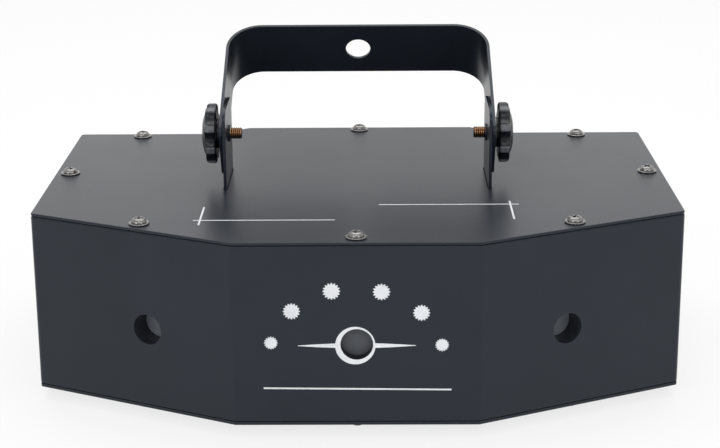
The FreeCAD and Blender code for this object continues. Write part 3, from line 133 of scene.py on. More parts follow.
# Materials
def powder_coat():
    """Black coat whose sheen is a little blue."""
    color = (0.012, 0.0155, 0.022)
    material, shader = new_material("black_powder_coat", color, 0.32, level=0.32)
    shader.inputs["Specular Tint"].default_value = (0.85, 0.93, 1.0, 1)
    drift(material, shader, scale=22, colors=(scaled(color, 0.9), scaled(color, 1.1)), roughness=(0.27, 0.36))
    relief(material, shader, scale=2600, depth=0.03 * MM, strength=0.35, edge=0.3 * MM)
    return material


def plated(name, color, roughness, edge=0.2 * MM, grain=EVEN):
    """Bare or plated metal, with grain along the axes that are stretched least."""
    material, shader = new_material(name, color, roughness, metallic=1.0)
    drift(material, shader, scale=240, colors=(scaled(color, 0.86), color),
          roughness=(roughness - 0.06, roughness + 0.08), stretch=grain)
    relief(material, shader, scale=4200, depth=0.01 * MM, strength=0.25, edge=edge, stretch=grain)
    return material


def moulded(name, color, roughness, edge=0.4 * MM, grain=3200, depth=0.02 * MM, level=0.5):
    """Plastic or rubber with a fine moulded grain."""
    material, shader = new_material(name, color, roughness, level=level)
    drift(material, shader, scale=90, colors=(scaled(color, 0.8), color),
          roughness=(roughness - 0.05, roughness + 0.06))
    relief(material, shader, scale=grain, depth=depth, strength=0.4, edge=edge)
    return material


PANE_COAT = 0.1
PANE_COAT_ROUGHNESS = 0.04


def pane(name, color, roughness, level):
    """Dark pane with a clear face."""
    material, shader = new_material(name, color, roughness, level=level)
    drift(material, shader, scale=60, colors=(scaled(color, 0.88), scaled(color, 1.12)),
          roughness=(roughness - 0.02, roughness + 0.04))
    relief(material, shader, scale=900, depth=0.005 * MM, strength=0.1, edge=0.3 * MM)
    shader.inputs["Coat Weight"].default_value = PANE_COAT
    shader.inputs["Coat Roughness"].default_value = PANE_COAT_ROUGHNESS
    return material


def circuit_board():
    """Green mask with lighter copper tracks under it."""
    material, shader = new_material("green_board", (0.012, 0.09, 0.035), roughness=0.32)
    coordinates = add_node(material, "ShaderNodeTexCoord")
    tracks = add_node(material, "ShaderNodeTexBrick", Scale=190.0)
    link(material, coordinates.outputs["Object"], tracks.inputs["Vector"])
    tracks.inputs["Color1"].default_value = (0.010, 0.085, 0.032, 1)
    tracks.inputs["Color2"].default_value = (0.014, 0.105, 0.040, 1)
    tracks.inputs["Mortar"].default_value = (0.030, 0.190, 0.075, 1)
    tracks.inputs["Mortar Size"].default_value = 0.03
    link(material, tracks.outputs["Color"], shader.inputs["Base Color"])
    relief(material, shader, scale=1500, depth=0.01 * MM, strength=0.3)
    return material


MATERIALS = {
    "black_powder_coat": powder_coat(),
    "bright_screw": plated("bright_screw", (0.25, 0.243, 0.234), 0.27),
    "black_screw": plated("black_screw", (0.045, 0.045, 0.05), 0.38),
    "yellow_zinc": plated("yellow_zinc", (0.66, 0.40, 0.22), 0.24, edge=0.05 * MM),
    "zinc": plated("zinc", (0.56, 0.57, 0.59), 0.32),
    "black_plastic": moulded("black_plastic", (0.0075, 0.0095, 0.014), 0.26, level=0.65),
    "black_rubber": moulded("black_rubber", (0.018, 0.018, 0.019), 0.78, edge=0.6 * MM, grain=1800,
                            depth=0.04 * MM, level=0.3),
    "smoked_glass": pane("smoked_glass", (0.076, 0.083, 0.094), 0.4, level=0.25),
    "display_red": pane("display_red", (0.040, 0.003, 0.004), 0.1, level=0.35),
    "aluminium": plated("aluminium", (0.72, 0.73, 0.75), 0.34, edge=0.3 * MM, grain=(1, 12, 1)),
    "motor_steel": plated("motor_steel", (0.52, 0.53, 0.55), 0.3),
    "mirror": plated("mirror", (0.90, 0.90, 0.92), 0.08, edge=0.1 * MM),
    "supply_steel": plated("supply_steel", (0.56, 0.57, 0.58), 0.42, edge=0.3 * MM, grain=(6, 1, 1)),
    "green_board": circuit_board(),
    "grey_button": moulded("grey_button", (0.20, 0.205, 0.215), 0.5),
    "white_nylon": moulded("white_nylon", (0.66, 0.65, 0.61), 0.5),
}
WHITE_INK = moulded("white_ink", (0.79, 0.81, 0.84), 0.55, edge=None, grain=3000, depth=0.01 * MM)
UNLIT_SEGMENT = moulded("unlit_segment", (0.105, 0.011, 0.012), 0.3, edge=None, grain=3000, depth=0.005 * MM)
# Painted light: the side panes are painted lighter than the centre one, though they get less light here, so
# that they look as light as it
PAINTED_LIGHT_SIDE_PANE = pane("side_pane_painted_light", (0.17, 0.186, 0.212), 0.4, level=0.25)
PAINTED_LIGHT_PANES = {"window_left": PAINTED_LIGHT_SIDE_PANE, "window_right": PAINTED_LIGHT_SIDE_PANE}
for part in frame["record"]["subparts"]:
    slots = nodes[part["node"]].data.materials
    slots.clear()
    slots.append(PAINTED_LIGHT_PANES.get(part["node"], MATERIALS[part["material_slot"]]))


# Mesh helpers
SHARP_ANGLE = math.radians(32)
SAME_POINT = 0.001 * MM


def piece(name, body, material, build, replaced=()):
    """A mesh made by build(bm), riding on a body, in place of the nodes that it replaces."""
    mesh = bpy.data.meshes.new(name)
    bm = bmesh.new()
    build(bm)
    bmesh.ops.recalc_face_normals(bm, faces=bm.faces)
    bm.to_mesh(mesh)
    bm.free()
    mesh.materials.append(material)
    mesh.shade_smooth()
    mesh.set_sharp_from_angle(angle=SHARP_ANGLE)
    item = bpy.data.objects.new(name, mesh)
    scene.collection.objects.link(item)
    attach(item, body)
    if replaced:
        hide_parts(*replaced)


def turns(count):
    return [2 * math.pi * index / count for index in range(count)]


def skin(bm, first, second):
    """Faces between two closed rows of vertices of one count."""
    count = len(first)
    for index in range(count):
        following = (index + 1) % count
        bm.faces.new((first[index], first[following], second[following], second[index]))


def loft(bm, rings, closed=False):
    """Skin over rings of points, with ends, or closed on itself."""
    rows = [[bm.verts.new(point) for point in ring] for ring in rings]
    for first, second in zip(rows, rows[1:]):
        skin(bm, first, second)
    if closed:
        skin(bm, rows[-1], rows[0])
    else:
        bm.faces.new(rows[0])
        bm.faces.new(rows[-1])


def lathe(bm, profile, matrix, count=64, closed=False):
    """Profile of (radius, height) turned about the local Z."""
    loft(bm, [[matrix @ Vector((r * math.cos(t), r * math.sin(t), z)) for t in turns(count)]
              for r, z in profile], closed)


def frame_at(at, along, spin=0.0):
    """Matrix that takes local Z to a direction and the origin to a point."""
    turn = Vector(along).to_track_quat("Z", "Y").to_matrix().to_4x4()
    return Matrix.Translation(Vector(at)) @ turn @ Matrix.Rotation(spin, 4, "Z")


def solids(node):
    """Low and high corners of each separate solid of a node, from left to right."""
    bm = bmesh.new()
    bm.from_mesh(nodes[node].data)
    bmesh.ops.remove_doubles(bm, verts=bm.verts, dist=SAME_POINT)
    left = set(bm.verts)
    found = []
    while left:
        queue = [left.pop()]
        points = []
        while queue:
            vertex = queue.pop()
            points.append(vertex.co.copy())
            near = {edge.other_vert(vertex) for edge in vertex.link_edges} & left
            left -= near
            queue.extend(near)
        low, high = (Vector([pick(p[axis] for p in points) for axis in range(3)]) for pick in (min, max))
        found.append((low, high))
    bm.free()
    return sorted(found, key=lambda corners: tuple(corners[0]))


# Screws
HEAD_SEGMENTS = 64
# Shares of a head's radius and height: its foot, its shoulder and dome, and the cross recess
HEAD_FOOT = [(0.96, 0), (1, 0.06)]
SHOULDER_SHARE = 0.36
SHOULDER_STEPS = 7
DOME_FLAT_SHARE = 0.46
RECESS_ARM_SHARE = 0.58
RECESS_HALF_SHARE = 0.165
RECESS_WALL = [(0.95, 0.4), (0.7, 0.95)]
SMALLEST_SINE = 0.01


def dome_height(share):
    """Height of a screw's dome, as a share, at a share of its radius."""
    over = max(share - DOME_FLAT_SHARE, 0) / (1 - DOME_FLAT_SHARE)
    return math.sqrt(max(1 - over ** 2, 0))


def cross_share(angle):
    """Outline of the cross recess, as a share of the head's radius."""
    folded = abs((angle + math.pi / 4) % (math.pi / 2) - math.pi / 4)
    return min(RECESS_ARM_SHARE, RECESS_HALF_SHARE / max(math.sin(folded), SMALLEST_SINE))


def screw_head(bm, matrix, radius, height):
    """Domed head with a cross recess."""
    angles = turns(HEAD_SEGMENTS)
    shoulder = [1 - SHOULDER_SHARE * step / SHOULDER_STEPS for step in range(1, SHOULDER_STEPS + 1)]
    rings = [[foot] * HEAD_SEGMENTS for foot in HEAD_FOOT]
    rings += [[(share, dome_height(share))] * HEAD_SEGMENTS for share in shoulder]
    cross = [cross_share(t) for t in angles]
    halfway = [(share + shoulder[-1]) / 2 for share in cross]
    rings += [[(share, dome_height(share)) for share in outline] for outline in (halfway, cross)]
    rings += [[(share * taper, 1 - drop) for share in cross] for taper, drop in RECESS_WALL]
    loft(bm, [[matrix @ Vector((radius * r * math.cos(t), radius * r * math.sin(t), height * z))
               for (r, z), t in zip(ring, angles)] for ring in rings])


THREAD_SEGMENTS = 40
# Rows of vertices in each turn
THREAD_ROWS = 8


def thread(bm, matrix, radius, start, stop, pitch, depth, chamfer):
    """Screw thread along local Z between two heights."""
    rows = round((stop - start) / pitch * THREAD_ROWS)
    rings = []
    for row in range(rows + 1):
        height = start + (stop - start) * row / rows
        limit = radius - chamfer + min(height - start, stop - height)
        ring = []
        for index, t in enumerate(turns(THREAD_SEGMENTS)):
            groove = abs(2 * ((height / pitch - index / THREAD_SEGMENTS) % 1) - 1)
            reach = min(radius - depth * groove, limit)
            ring.append(matrix @ Vector((reach * math.cos(t), reach * math.sin(t), height)))
        rings.append(ring)
    loft(bm, rings)


COVER_LENGTH = 7 * MM
COVER_THREAD = 2 * MM
COVER_PITCH = 0.7 * MM
COVER_GROOVE = 0.3 * MM
COVER_CHAMFER = 0.5 * MM
COVER_WASHER = 0.9 * MM
COVER_WASHER_DIP = 0.06 * MM
COVER_HEAD_SHARE = 0.735
# Angle of the first recess, and from each screw to the next, so that they differ
COVER_SPINS = (0.5, 1.37)


def make_cover_screws(node, slot, up):
    """Washer-head screws of the lid or the base."""
    def build(bm):
        for index, (low, high) in enumerate(solids(node)):
            middle = (low + high) / 2
            seat = low.z + COVER_LENGTH if up > 0 else high.z - COVER_LENGTH
            washer = (high.x - low.x) / 2
            soft = COVER_WASHER / 3
            head = washer * COVER_HEAD_SHARE
            matrix = frame_at((middle.x, middle.y, seat), (0, 0, up), COVER_SPINS[0] + COVER_SPINS[1] * index)
            lathe(bm, [(washer - soft, 0), (washer, soft), (washer, 2 * soft), (washer - soft, 3 * soft),
                       (head, COVER_WASHER - COVER_WASHER_DIP), (head / 2, 3 * soft)], matrix)
            on_washer = matrix @ Matrix.Translation((0, 0, COVER_WASHER))
            screw_head(bm, on_washer, head, high.z - low.z - COVER_LENGTH - COVER_WASHER)
            thread(bm, matrix, COVER_THREAD, -COVER_LENGTH, 0, COVER_PITCH, COVER_GROOVE, COVER_CHAMFER)
    piece(f"{node}_detailed", "housing", MATERIALS[slot], build, (node,))


PAN_HEAD_HEIGHT = 2 * MM
PAN_THREAD = 1.5 * MM
PAN_PITCH = 0.5 * MM
PAN_GROOVE = 0.2 * MM
PAN_CHAMFER = 0.4 * MM
PAN_SPINS = (0.3, 1.9)


def make_pan_screws(node, slot):
    """Small screws of the rear fittings, heads to the back."""
    def build(bm):
        for index, (low, high) in enumerate(solids(node)):
            middle = (low + high) / 2
            seat = high.y - PAN_HEAD_HEIGHT
            matrix = frame_at((middle.x, seat, middle.z), (0, 1, 0), PAN_SPINS[0] + PAN_SPINS[1] * index)
            screw_head(bm, matrix, (high.x - low.x) / 2, PAN_HEAD_HEIGHT)
            thread(bm, matrix, PAN_THREAD, low.y - seat, 0, PAN_PITCH, PAN_GROOVE, PAN_CHAMFER)
    piece(f"{node}_detailed", "housing", MATERIALS[slot], build, (node,))


# Knobs and their bolts
LOBES = 8
# Turns a hollow to the front, as on the solid
KNOB_SPIN = math.pi / LOBES
KNOB_SEGMENTS = 192
HOLLOW_RADIUS = 6 * MM
# Radius, height and depth of the hollows in millimetres, from the bolt's socket over the hub to the dome
KNOB_PROFILE = [
    (3.05, 5.0, 0), (3.05, 0.0, 0), (7.2, 0.0, 0), (7.5, 0.25, 0), (7.5, 1.2, 0), (9.5, 1.2, 0),
    (13.0, 1.2, 1.6), (14.2, 1.35, 2.2), (14.8, 1.7, 2.5), (15, 2.2, 2.5), (15, 5.2, 2.5), (14.8, 5.9, 2.5),
    (14.2, 6.5, 2.3), (13.2, 6.75, 1.8), (12.2, 6.8, 1.2), (11.2, 6.8, 0.3), (10.7, 6.95, 0), (10.3, 7.25, 0),
    (8.8, 7.9, 0), (6.6, 8.4, 0), (4.0, 8.65, 0), (1.6, 8.7, 0),
]


def lobed(radius, depth, angle):
    """Reach of the knob at an angle: a circle with a round hollow between each two lobes."""
    pitch = 2 * math.pi / LOBES
    off = angle % pitch - pitch / 2
    middle = radius + HOLLOW_RADIUS - depth
    inside = HOLLOW_RADIUS ** 2 - (middle * math.sin(off)) ** 2
    if depth == 0 or inside <= 0:
        return radius
    return min(radius, middle * math.cos(off) - math.sqrt(inside))


# Distances from the axis at which the painted highlight on the lobes' tips starts and is full
HIGHLIGHT_REACH = (14.1 * MM, 14.6 * MM)
HIGHLIGHT_COLOR = (0.2, 0.21, 0.235)
HIGHLIGHT_SCALE = 900
HIGHLIGHT_DETAIL = 4.0
BOLT_PITCH = 1 * MM
BOLT_GROOVE = 0.5 * MM
BOLT_CHAMFER = 0.6 * MM
# Colour of the painted shade in the roots of the bolts' threads
GROOVE_SHADE_COLOR = (0.05, 0.028, 0.018)


def near_reach(material, start, stop):
    """Factor from 0 to 1 between two distances from the axis of the knobs and bolts."""
    low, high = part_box("knob_left")
    coordinates = add_node(material, "ShaderNodeTexCoord")
    from_axis = add_node(material, "ShaderNodeVectorMath", operation="SUBTRACT")
    from_axis.inputs[1].default_value = (low + high) / 2
    link(material, coordinates.outputs["Object"], from_axis.inputs[0])
    across = add_node(material, "ShaderNodeVectorMath", operation="MULTIPLY")
    across.inputs[1].default_value = (0, 1, 1)
    link(material, from_axis.outputs["Vector"], across.inputs[0])
    reach = add_node(material, "ShaderNodeVectorMath", operation="LENGTH")
    link(material, across.outputs["Vector"], reach.inputs[0])
    factor = add_node(material, "ShaderNodeMapRange")
    factor.inputs["From Min"].default_value = start
    factor.inputs["From Max"].default_value = stop
    link(material, reach.outputs["Value"], factor.inputs["Value"])
    return factor.outputs["Result"]


def paint_light_and_shade(material, factor, color):
    """Painted light and shade: a second colour over the base colour, by a factor."""
    shader = material.node_tree.nodes["Principled BSDF"]
    base = shader.inputs["Base Color"].links[0].from_socket
    mix = add_node(material, "ShaderNodeMixRGB", Color2=(*color, 1))
    link(material, factor, mix.inputs["Fac"])
    link(material, base, mix.inputs["Color1"])
    link(material, mix.outputs["Color"], shader.inputs["Base Color"])


def tip_highlight_plastic():
    """Black plastic with a painted highlight: grey in patches at the tips of the knobs' lobes."""
    material = moulded("tip_highlight_plastic", (0.006, 0.0078, 0.012), 0.3, level=0.35)
    patches = add_node(material, "ShaderNodeMath", operation="MULTIPLY")
    link(material, near_reach(material, *HIGHLIGHT_REACH), patches.inputs[0])
    link(material, object_noise(material, HIGHLIGHT_SCALE, HIGHLIGHT_DETAIL), patches.inputs[1])
    # Painted highlight: lighter grey at the lobes' tips, in place of their glints
    paint_light_and_shade(material, patches.outputs[0], HIGHLIGHT_COLOR)
    return material


def shade_bolt_grooves():
    """Painted shade, dark in the grooves of the bolts' threads."""
    low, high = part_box("bolt_left")
    radius = (high.z - low.z) / 2
    material = MATERIALS["yellow_zinc"]
    # Painted shade: darker towards the roots of the thread
    paint_light_and_shade(material, near_reach(material, radius, radius - BOLT_GROOVE), GROOVE_SHADE_COLOR)


TIP_HIGHLIGHT_PLASTIC = tip_highlight_plastic()
shade_bolt_grooves()


def make_knob(side, sign):
    """Lobed knob with its hub towards the yoke."""
    low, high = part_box(f"knob_{side}")
    middle = (low + high) / 2
    matrix = frame_at((low.x if sign > 0 else high.x, middle.y, middle.z), (sign, 0, 0), KNOB_SPIN)

    def build(bm):
        angles = turns(KNOB_SEGMENTS)
        rings = []
        for radius, height, depth in KNOB_PROFILE:
            reaches = [lobed(radius * MM, depth * MM, t) for t in angles]
            rings.append([matrix @ Vector((reach * math.cos(t), reach * math.sin(t), height * MM))
                          for reach, t in zip(reaches, angles)])
        loft(bm, rings)
    piece(f"knob_{side}_moulded", f"{side}_knob", TIP_HIGHLIGHT_PLASTIC, build,
          (f"knob_{side}",))


def make_bolt(side, sign):
    """Threaded bolt that is fixed in its knob."""
    low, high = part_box(f"bolt_{side}")
    middle = (low + high) / 2
    matrix = frame_at((low.x if sign > 0 else high.x, middle.y, middle.z), (sign, 0, 0))

    def build(bm):
        radius = (high.z - low.z) / 2
        thread(bm, matrix, radius, 0, high.x - low.x, BOLT_PITCH, BOLT_GROOVE, BOLT_CHAMFER)
    piece(f"bolt_{side}_threaded", f"{side}_knob", MATERIALS["yellow_zinc"], build,
          (f"bolt_{side}",))


# Rear fittings
SMALL_SEGMENTS = 40
GUARD_RINGS = 4
GUARD_PITCH = 4.6 * MM
GUARD_LUG = 3.5 * MM
GUARD_HOLE = 1.7 * MM
WIRE_SEGMENTS = 14
RING_SEGMENTS = 72


def make_fan_guard():
    """Round wire rings, welded to two cross wires with an eye at each screw."""
    low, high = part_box("fan_guard")
    middle = (low + high) / 2
    wire = (high.y - low.y) / 2
    outer = (high.x - low.x) / 2 - wire
    eyes = [(corners[0] + corners[1]) / 2 for corners in solids("fan_screws")]
    matrix = frame_at(middle, (0, 1, 0))

    def build(bm):
        for index in range(GUARD_RINGS):
            reach = outer - index * GUARD_PITCH
            section = [(reach + wire * math.cos(t), wire * math.sin(t)) for t in turns(WIRE_SEGMENTS)]
            lathe(bm, section, matrix, RING_SEGMENTS, closed=True)
        for eye in eyes:
            at = Vector((eye.x, middle.y, eye.z))
            lathe(bm, [(GUARD_HOLE, -wire), (GUARD_LUG - wire / 2, -wire), (GUARD_LUG, 0),
                       (GUARD_LUG - wire / 2, wire), (GUARD_HOLE, wire)],
                  frame_at(at, (0, 1, 0)), SMALL_SEGMENTS, closed=True)
            length = (at - middle).length - GUARD_HOLE
            lathe(bm, [(wire, 0), (wire, length)], frame_at(middle, at - middle), WIRE_SEGMENTS)
    piece("fan_guard_wires", "housing", MATERIALS["zinc"], build, ("fan_guard",))


CAP_SHARE = 0.75
CROWN_SHARE = 0.2
CROWN_DEGREES = range(0, 90, 15)
COLLAR_THICK = 1.2 * MM


def make_button(name):
    """Menu button with a domed cap and its collar behind the panel."""
    low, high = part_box(name)
    middle = (low + high) / 2
    collar = (high.x - low.x) / 2
    cap = collar * CAP_SHARE
    top = high.y - low.y
    crown = [(cap * math.cos(math.radians(a)), top - CROWN_SHARE * cap * (1 - math.sin(math.radians(a))))
             for a in CROWN_DEGREES]

    def build(bm):
        lathe(bm, [(collar, 0), (collar, COLLAR_THICK), (cap, COLLAR_THICK)] + crown,
              frame_at((middle.x, low.y, middle.z), (0, 1, 0)), SMALL_SEGMENTS)
    piece(f"{name}_domed", name, MATERIALS["grey_button"], build, (name,))


PIN_SKIN = 0.04 * MM
PIN_SEGMENTS = 32
# A solid wider than this is the socket itself
PIN_WIDTH_LIMIT = 5 * MM
# A pin taller than its width by this ratio is a flat blade, and the power squares its outline
BLADE_RATIO = 1.2
BLADE_POWER = 0.25
# Shares of the taper: how far in from the side, and how far back from the tip
PIN_TAPER = [(0, 1), (0.3, 0.3)]
PIN_TIP_SHARE = 0.6


def make_pins(node):
    """Plated skins with tapered ends over a socket's pins."""
    def build(bm):
        for low, high in solids(node):
            if high.x - low.x > PIN_WIDTH_LIMIT:
                continue
            half = (high - low) / 2 + Vector((PIN_SKIN, PIN_SKIN, PIN_SKIN))
            middle = (low + high) / 2
            power = BLADE_POWER if half.z > BLADE_RATIO * half.x else 1
            taper = min(half.x, half.z)
            rows = [(0, low.y)] + [(inset * taper, high.y - back * taper) for inset, back in PIN_TAPER]
            rows.append((PIN_TIP_SHARE * taper, high.y + PIN_SKIN))
            rings = []
            for inset, y in rows:
                ring = []
                for t in turns(PIN_SEGMENTS):
                    c, s = (math.copysign(abs(v) ** power, v) for v in (math.cos(t), math.sin(t)))
                    ring.append(Vector((middle.x + (half.x - inset) * c, y, middle.z + (half.z - inset) * s)))
                rings.append(ring)
            loft(bm, rings)
    piece(f"{node}_pins", "housing", MATERIALS["zinc"], build)


# Print, with its places and sizes in millimetres
INK_THICK = 0.04 * MM
front_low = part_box("front_shell")[0]
lid_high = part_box("lid")[1]
base_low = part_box("base_plate")[0]


def on_front(x, z):
    """Point of the centre facet, in millimetres from the middle and above the base."""
    return Vector((x * MM, front_low.y, base_low.z + z * MM))


def on_lid(x, depth):
    """Point of the lid, in millimetres from the middle and behind the centre facet."""
    return Vector((x * MM, front_low.y + depth * MM, lid_high.z))


def ink(bm, outline, towards, thick=INK_THICK):
    """Thin layer of ink over an outline."""
    loft(bm, [outline, [point + Vector(towards) * thick for point in outline]])


def ink_ring(bm, outer, inner, towards):
    """Thin layer of ink between two outlines of one count."""
    rise = Vector(towards) * INK_THICK
    loft(bm, [outer, [p + rise for p in outer], [p + rise for p in inner], inner], closed=True)


def circle(place, x, z, radius, count=96):
    return [place(x + radius * math.cos(t), z + radius * math.sin(t)) for t in turns(count)]


def bar(place, x0, x1, z0, z1):
    return [place(x0, z0), place(x1, z0), place(x1, z1), place(x0, z1)]


SCALLOPS = 16
SCALLOP_POINTS = 8
SCALLOP_SHARE = 0.11
# Middle and diameter of the scalloped discs over the centre aperture
DISCS = [(-39.1, 40.6, 6.4), (-29.5, 55.9, 8.0), (-11.3, 65.5, 8.2), (11.3, 65.1, 8.1), (29.4, 55.0, 7.9),
         (38.8, 39.4, 6.4)]
APERTURE_Z = 39.8
APERTURE_RADIUS = 7.45
RING_X, RING_Z, RING_RADIUS = -0.7, 39.2, 9.15
# Distance from the middle and half thickness of the pointed lines beside the ring
POINTED_LINE = [(8.2, 1.15), (11.5, 1), (15, 0.85), (20, 0.58), (26.8, 0.12)]
# Corners of the long line near the foot of the facet
FOOT_LINE = [(-42.8, 18.0), (43.2, 17.1), (43.2, 17.9), (-42.8, 18.8)]


def scalloped(x, z, diameter):
    """Disc with a scalloped edge."""
    outline = []
    for t in turns(SCALLOPS * SCALLOP_POINTS):
        reach = diameter / 2 * (1 - SCALLOP_SHARE * (1 - math.cos(SCALLOPS * t)))
        outline.append(on_front(x + reach * math.cos(t), z + reach * math.sin(t)))
    return outline


def make_front_print():
    """Discs, ring and lines on the centre facet."""
    towards = (0, -1, 0)

    def build(bm):
        for x, z, diameter in DISCS:
            ink(bm, scalloped(x, z, diameter), towards)
        ink_ring(bm, circle(on_front, RING_X, RING_Z, RING_RADIUS),
                 circle(on_front, 0, APERTURE_Z, APERTURE_RADIUS), towards)
        for sign in (-1, 1):
            outline = [on_front(sign * x, RING_Z - half) for x, half in POINTED_LINE]
            outline += [on_front(sign * x, RING_Z + half) for x, half in reversed(POINTED_LINE)]
            ink(bm, outline, towards, INK_THICK / 2)
        ink(bm, [on_front(x, z) for x, z in FOOT_LINE], towards)
    piece("front_print", "housing", WHITE_INK, build)


LINE_THICK = 0.9
# Ends and depth of the two long lines, then place and ends of the ticks across them
LID_LINES = [(-76.5, -10.2, 33.2), (10.4, 77.4, 56.7)]
LID_TICKS = [(-73.2, 26.2, 53.8), (73.4, 33.7, 61.9)]


def make_lid_print():
    """Two long lines on the lid, each crossed by a tick."""
    towards = (0, 0, 1)

    def build(bm):
        for x0, x1, depth in LID_LINES:
            ink(bm, bar(on_lid, x0, x1, depth - LINE_THICK / 2, depth + LINE_THICK / 2), towards)
        for x, depth0, depth1 in LID_TICKS:
            outline = bar(on_lid, x - LINE_THICK / 2, x + LINE_THICK / 2, depth0, depth1)
            ink(bm, outline, towards, INK_THICK / 2)
    piece("lid_print", "housing", WHITE_INK, build)


BUTTONS = ("menu", "down", "up", "enter")
MARK_RISE = 6.5
MARK_SIZE = 1.3
MARK_BAR = 0.6
MARK_RING = 0.45
MARK_SEGMENTS = 32


def make_button_marks():
    """Bar, two arrows and a ring over the menu buttons."""
    towards = (0, 1, 0)
    panel_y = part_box("rear_panel")[1].y

    def build(bm):
        for name in BUTTONS:
            low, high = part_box(f"button_{name}")
            middle = (low + high) / 2

            def place(x, z, middle=middle):
                return Vector((middle.x + x * MM, panel_y, middle.z + (MARK_RISE + z) * MM))

            if name == "menu":
                ink(bm, bar(place, -MARK_SIZE, MARK_SIZE, -MARK_BAR / 2, MARK_BAR / 2), towards)
            elif name == "enter":
                outer, inner = (circle(place, 0, 0, radius, MARK_SEGMENTS)
                                for radius in (MARK_SIZE, MARK_SIZE - MARK_RING))
                ink_ring(bm, outer, inner, towards)
            else:
                tip = MARK_SIZE if name == "up" else -MARK_SIZE
                ink(bm, [place(-MARK_SIZE, -tip / 2), place(MARK_SIZE, -tip / 2), place(0, tip)], towards)
    piece("button_marks", "housing", WHITE_INK, build)


SWITCH_MARK_SHARE = 0.27
SWITCH_MARK = 1.2
SWITCH_BAR = 0.5
SWITCH_RING = 0.4
RAY_START = 1 * MM


def make_switch_marks():
    """Line and ring on the two halves of the rocker."""
    low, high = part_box("rocker")
    middle = (low + high) / 2
    inward = Vector((0, -1, 0))

    def build(bm):
        for sign in (-1, 1):
            centre_z = middle.z + sign * (high.z - low.z) * SWITCH_MARK_SHARE
            start = Vector((middle.x, high.y + RAY_START, centre_z))
            _, at, normal, _ = nodes["rocker"].ray_cast(start, inward)
            up = normal.cross(Vector((1, 0, 0))).normalized()

            def place(x, z, at=at, up=up):
                return at + Vector((x * MM, 0, 0)) + up * (z * MM)

            if sign > 0:
                ink(bm, bar(place, -SWITCH_BAR / 2, SWITCH_BAR / 2, -SWITCH_MARK, SWITCH_MARK), normal)
            else:
                outer, inner = (circle(place, 0, 0, radius, SMALL_SEGMENTS)
                                for radius in (SWITCH_MARK, SWITCH_MARK - SWITCH_RING))
                ink_ring(bm, outer, inner, normal)
    piece("rocker_marks", "rocker", WHITE_INK, build)


DIGITS = 4
DIGIT_PITCH = 8.2
DIGIT_WIDTH, DIGIT_HEIGHT = 5.0, 9.6
SEGMENT = 1.0
SEGMENT_GAP = 0.12
DIGIT_SLANT = 0.1


def make_display_segments():
    """Unlit seven-segment digits that show faintly through the display's window."""
    low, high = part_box("display_window")
    middle = (low + high) / 2
    long, tall, half, gap = DIGIT_WIDTH / 2, DIGIT_HEIGHT / 2, SEGMENT / 2, SEGMENT_GAP

    def build(bm):
        for index in range(DIGITS):
            shift = (index - (DIGITS - 1) / 2) * DIGIT_PITCH

            def place(x, z, shift=shift):
                return Vector((middle.x - (shift + x + z * DIGIT_SLANT) * MM, high.y, middle.z + z * MM))

            for z in (-tall, 0, tall):
                ends = [(-long + gap, z), (-long + half + gap, z - half), (long - half - gap, z - half),
                        (long - gap, z), (long - half - gap, z + half), (-long + half + gap, z + half)]
                ink(bm, [place(*end) for end in ends], (0, 1, 0), INK_THICK / 2)
            for x in (-long, long):
                for z in (-tall, 0):
                    foot, top = z + half + gap, z + tall - half - gap
                    ends = [(x, z + gap), (x + half, foot), (x + half, top),
                            (x, z + tall - gap), (x - half, top), (x - half, foot)]
                    ink(bm, [place(*end) for end in ends], (0, 1, 0), INK_THICK / 2)
    piece("display_segments", "housing", UNLIT_SEGMENT, build)


make_cover_screws("lid_screws", "bright_screw", 1)
make_cover_screws("base_screws", "black_screw", -1)
make_pan_screws("fan_screws", "black_screw")
make_pan_screws("socket_screws", "black_screw")
for side, sign in (("left", -1), ("right", 1)):
    make_knob(side, sign)
    make_bolt(side, sign)
make_fan_guard()
for label in BUTTONS:
    make_button(f"button_{label}")
make_pins("power_inlet")
make_pins("dmx_in")
make_front_print()
make_lid_print()
make_button_marks()
make_switch_marks()
make_display_segments()


# Floor, light and camera
def seen_directly(owner):
    """1 for camera, glossy and transmission rays."""
    path = add_node(owner, "ShaderNodeLightPath")
    total = path.outputs["Is Camera Ray"]
    for kind in ("Is Glossy Ray", "Is Transmission Ray"):
        larger = add_node(owner, "ShaderNodeMath", operation="MAXIMUM")
        link(owner, total, larger.inputs[0])
        link(owner, path.outputs[kind], larger.inputs[1])
        total = larger.outputs[0]
    return total


FLOOR_HALF = 6
FLOOR_DROP = 0.3 * MM
FLOOR_COLOR = (0.95, 0.95, 0.95, 1)
FLOOR_GLOW = 0.78


def make_floor():
    """Pale floor that glows a little where it is seen, so that it is white but keeps the object's shadow."""
    mesh = bpy.data.meshes.new("floor")
    bm = bmesh.new()
    bmesh.ops.create_grid(bm, x_segments=1, y_segments=1, size=FLOOR_HALF)
    bm.to_mesh(mesh)
    bm.free()
    floor = bpy.data.objects.new("floor", mesh)
    floor.location.z = -FLOOR_DROP
    scene.collection.objects.link(floor)
    material = bpy.data.materials.new("pale_floor")
    material.use_nodes = True
    material.node_tree.nodes.clear()
    output = add_node(material, "ShaderNodeOutputMaterial")
    matt = add_node(material, "ShaderNodeBsdfDiffuse", Color=FLOOR_COLOR)
    glow = add_node(material, "ShaderNodeEmission", Color=(1, 1, 1, 1), Strength=1.0)
    mix = add_node(material, "ShaderNodeMixShader")
    share = add_node(material, "ShaderNodeMath", operation="MULTIPLY")
    share.inputs[1].default_value = FLOOR_GLOW
    link(material, seen_directly(material), share.inputs[0])
    link(material, share.outputs[0], mix.inputs[0])
    link(material, matt.outputs[0], mix.inputs[1])
    link(material, glow.outputs[0], mix.inputs[2])
    link(material, mix.outputs[0], output.inputs["Surface"])
    mesh.materials.append(material)


WORLD_LIGHT = 0.55
WORLD_FRONT = 0.4
# Y of the directions between which the mirrored surroundings fade
WORLD_FADE = (-0.9, 0.1)


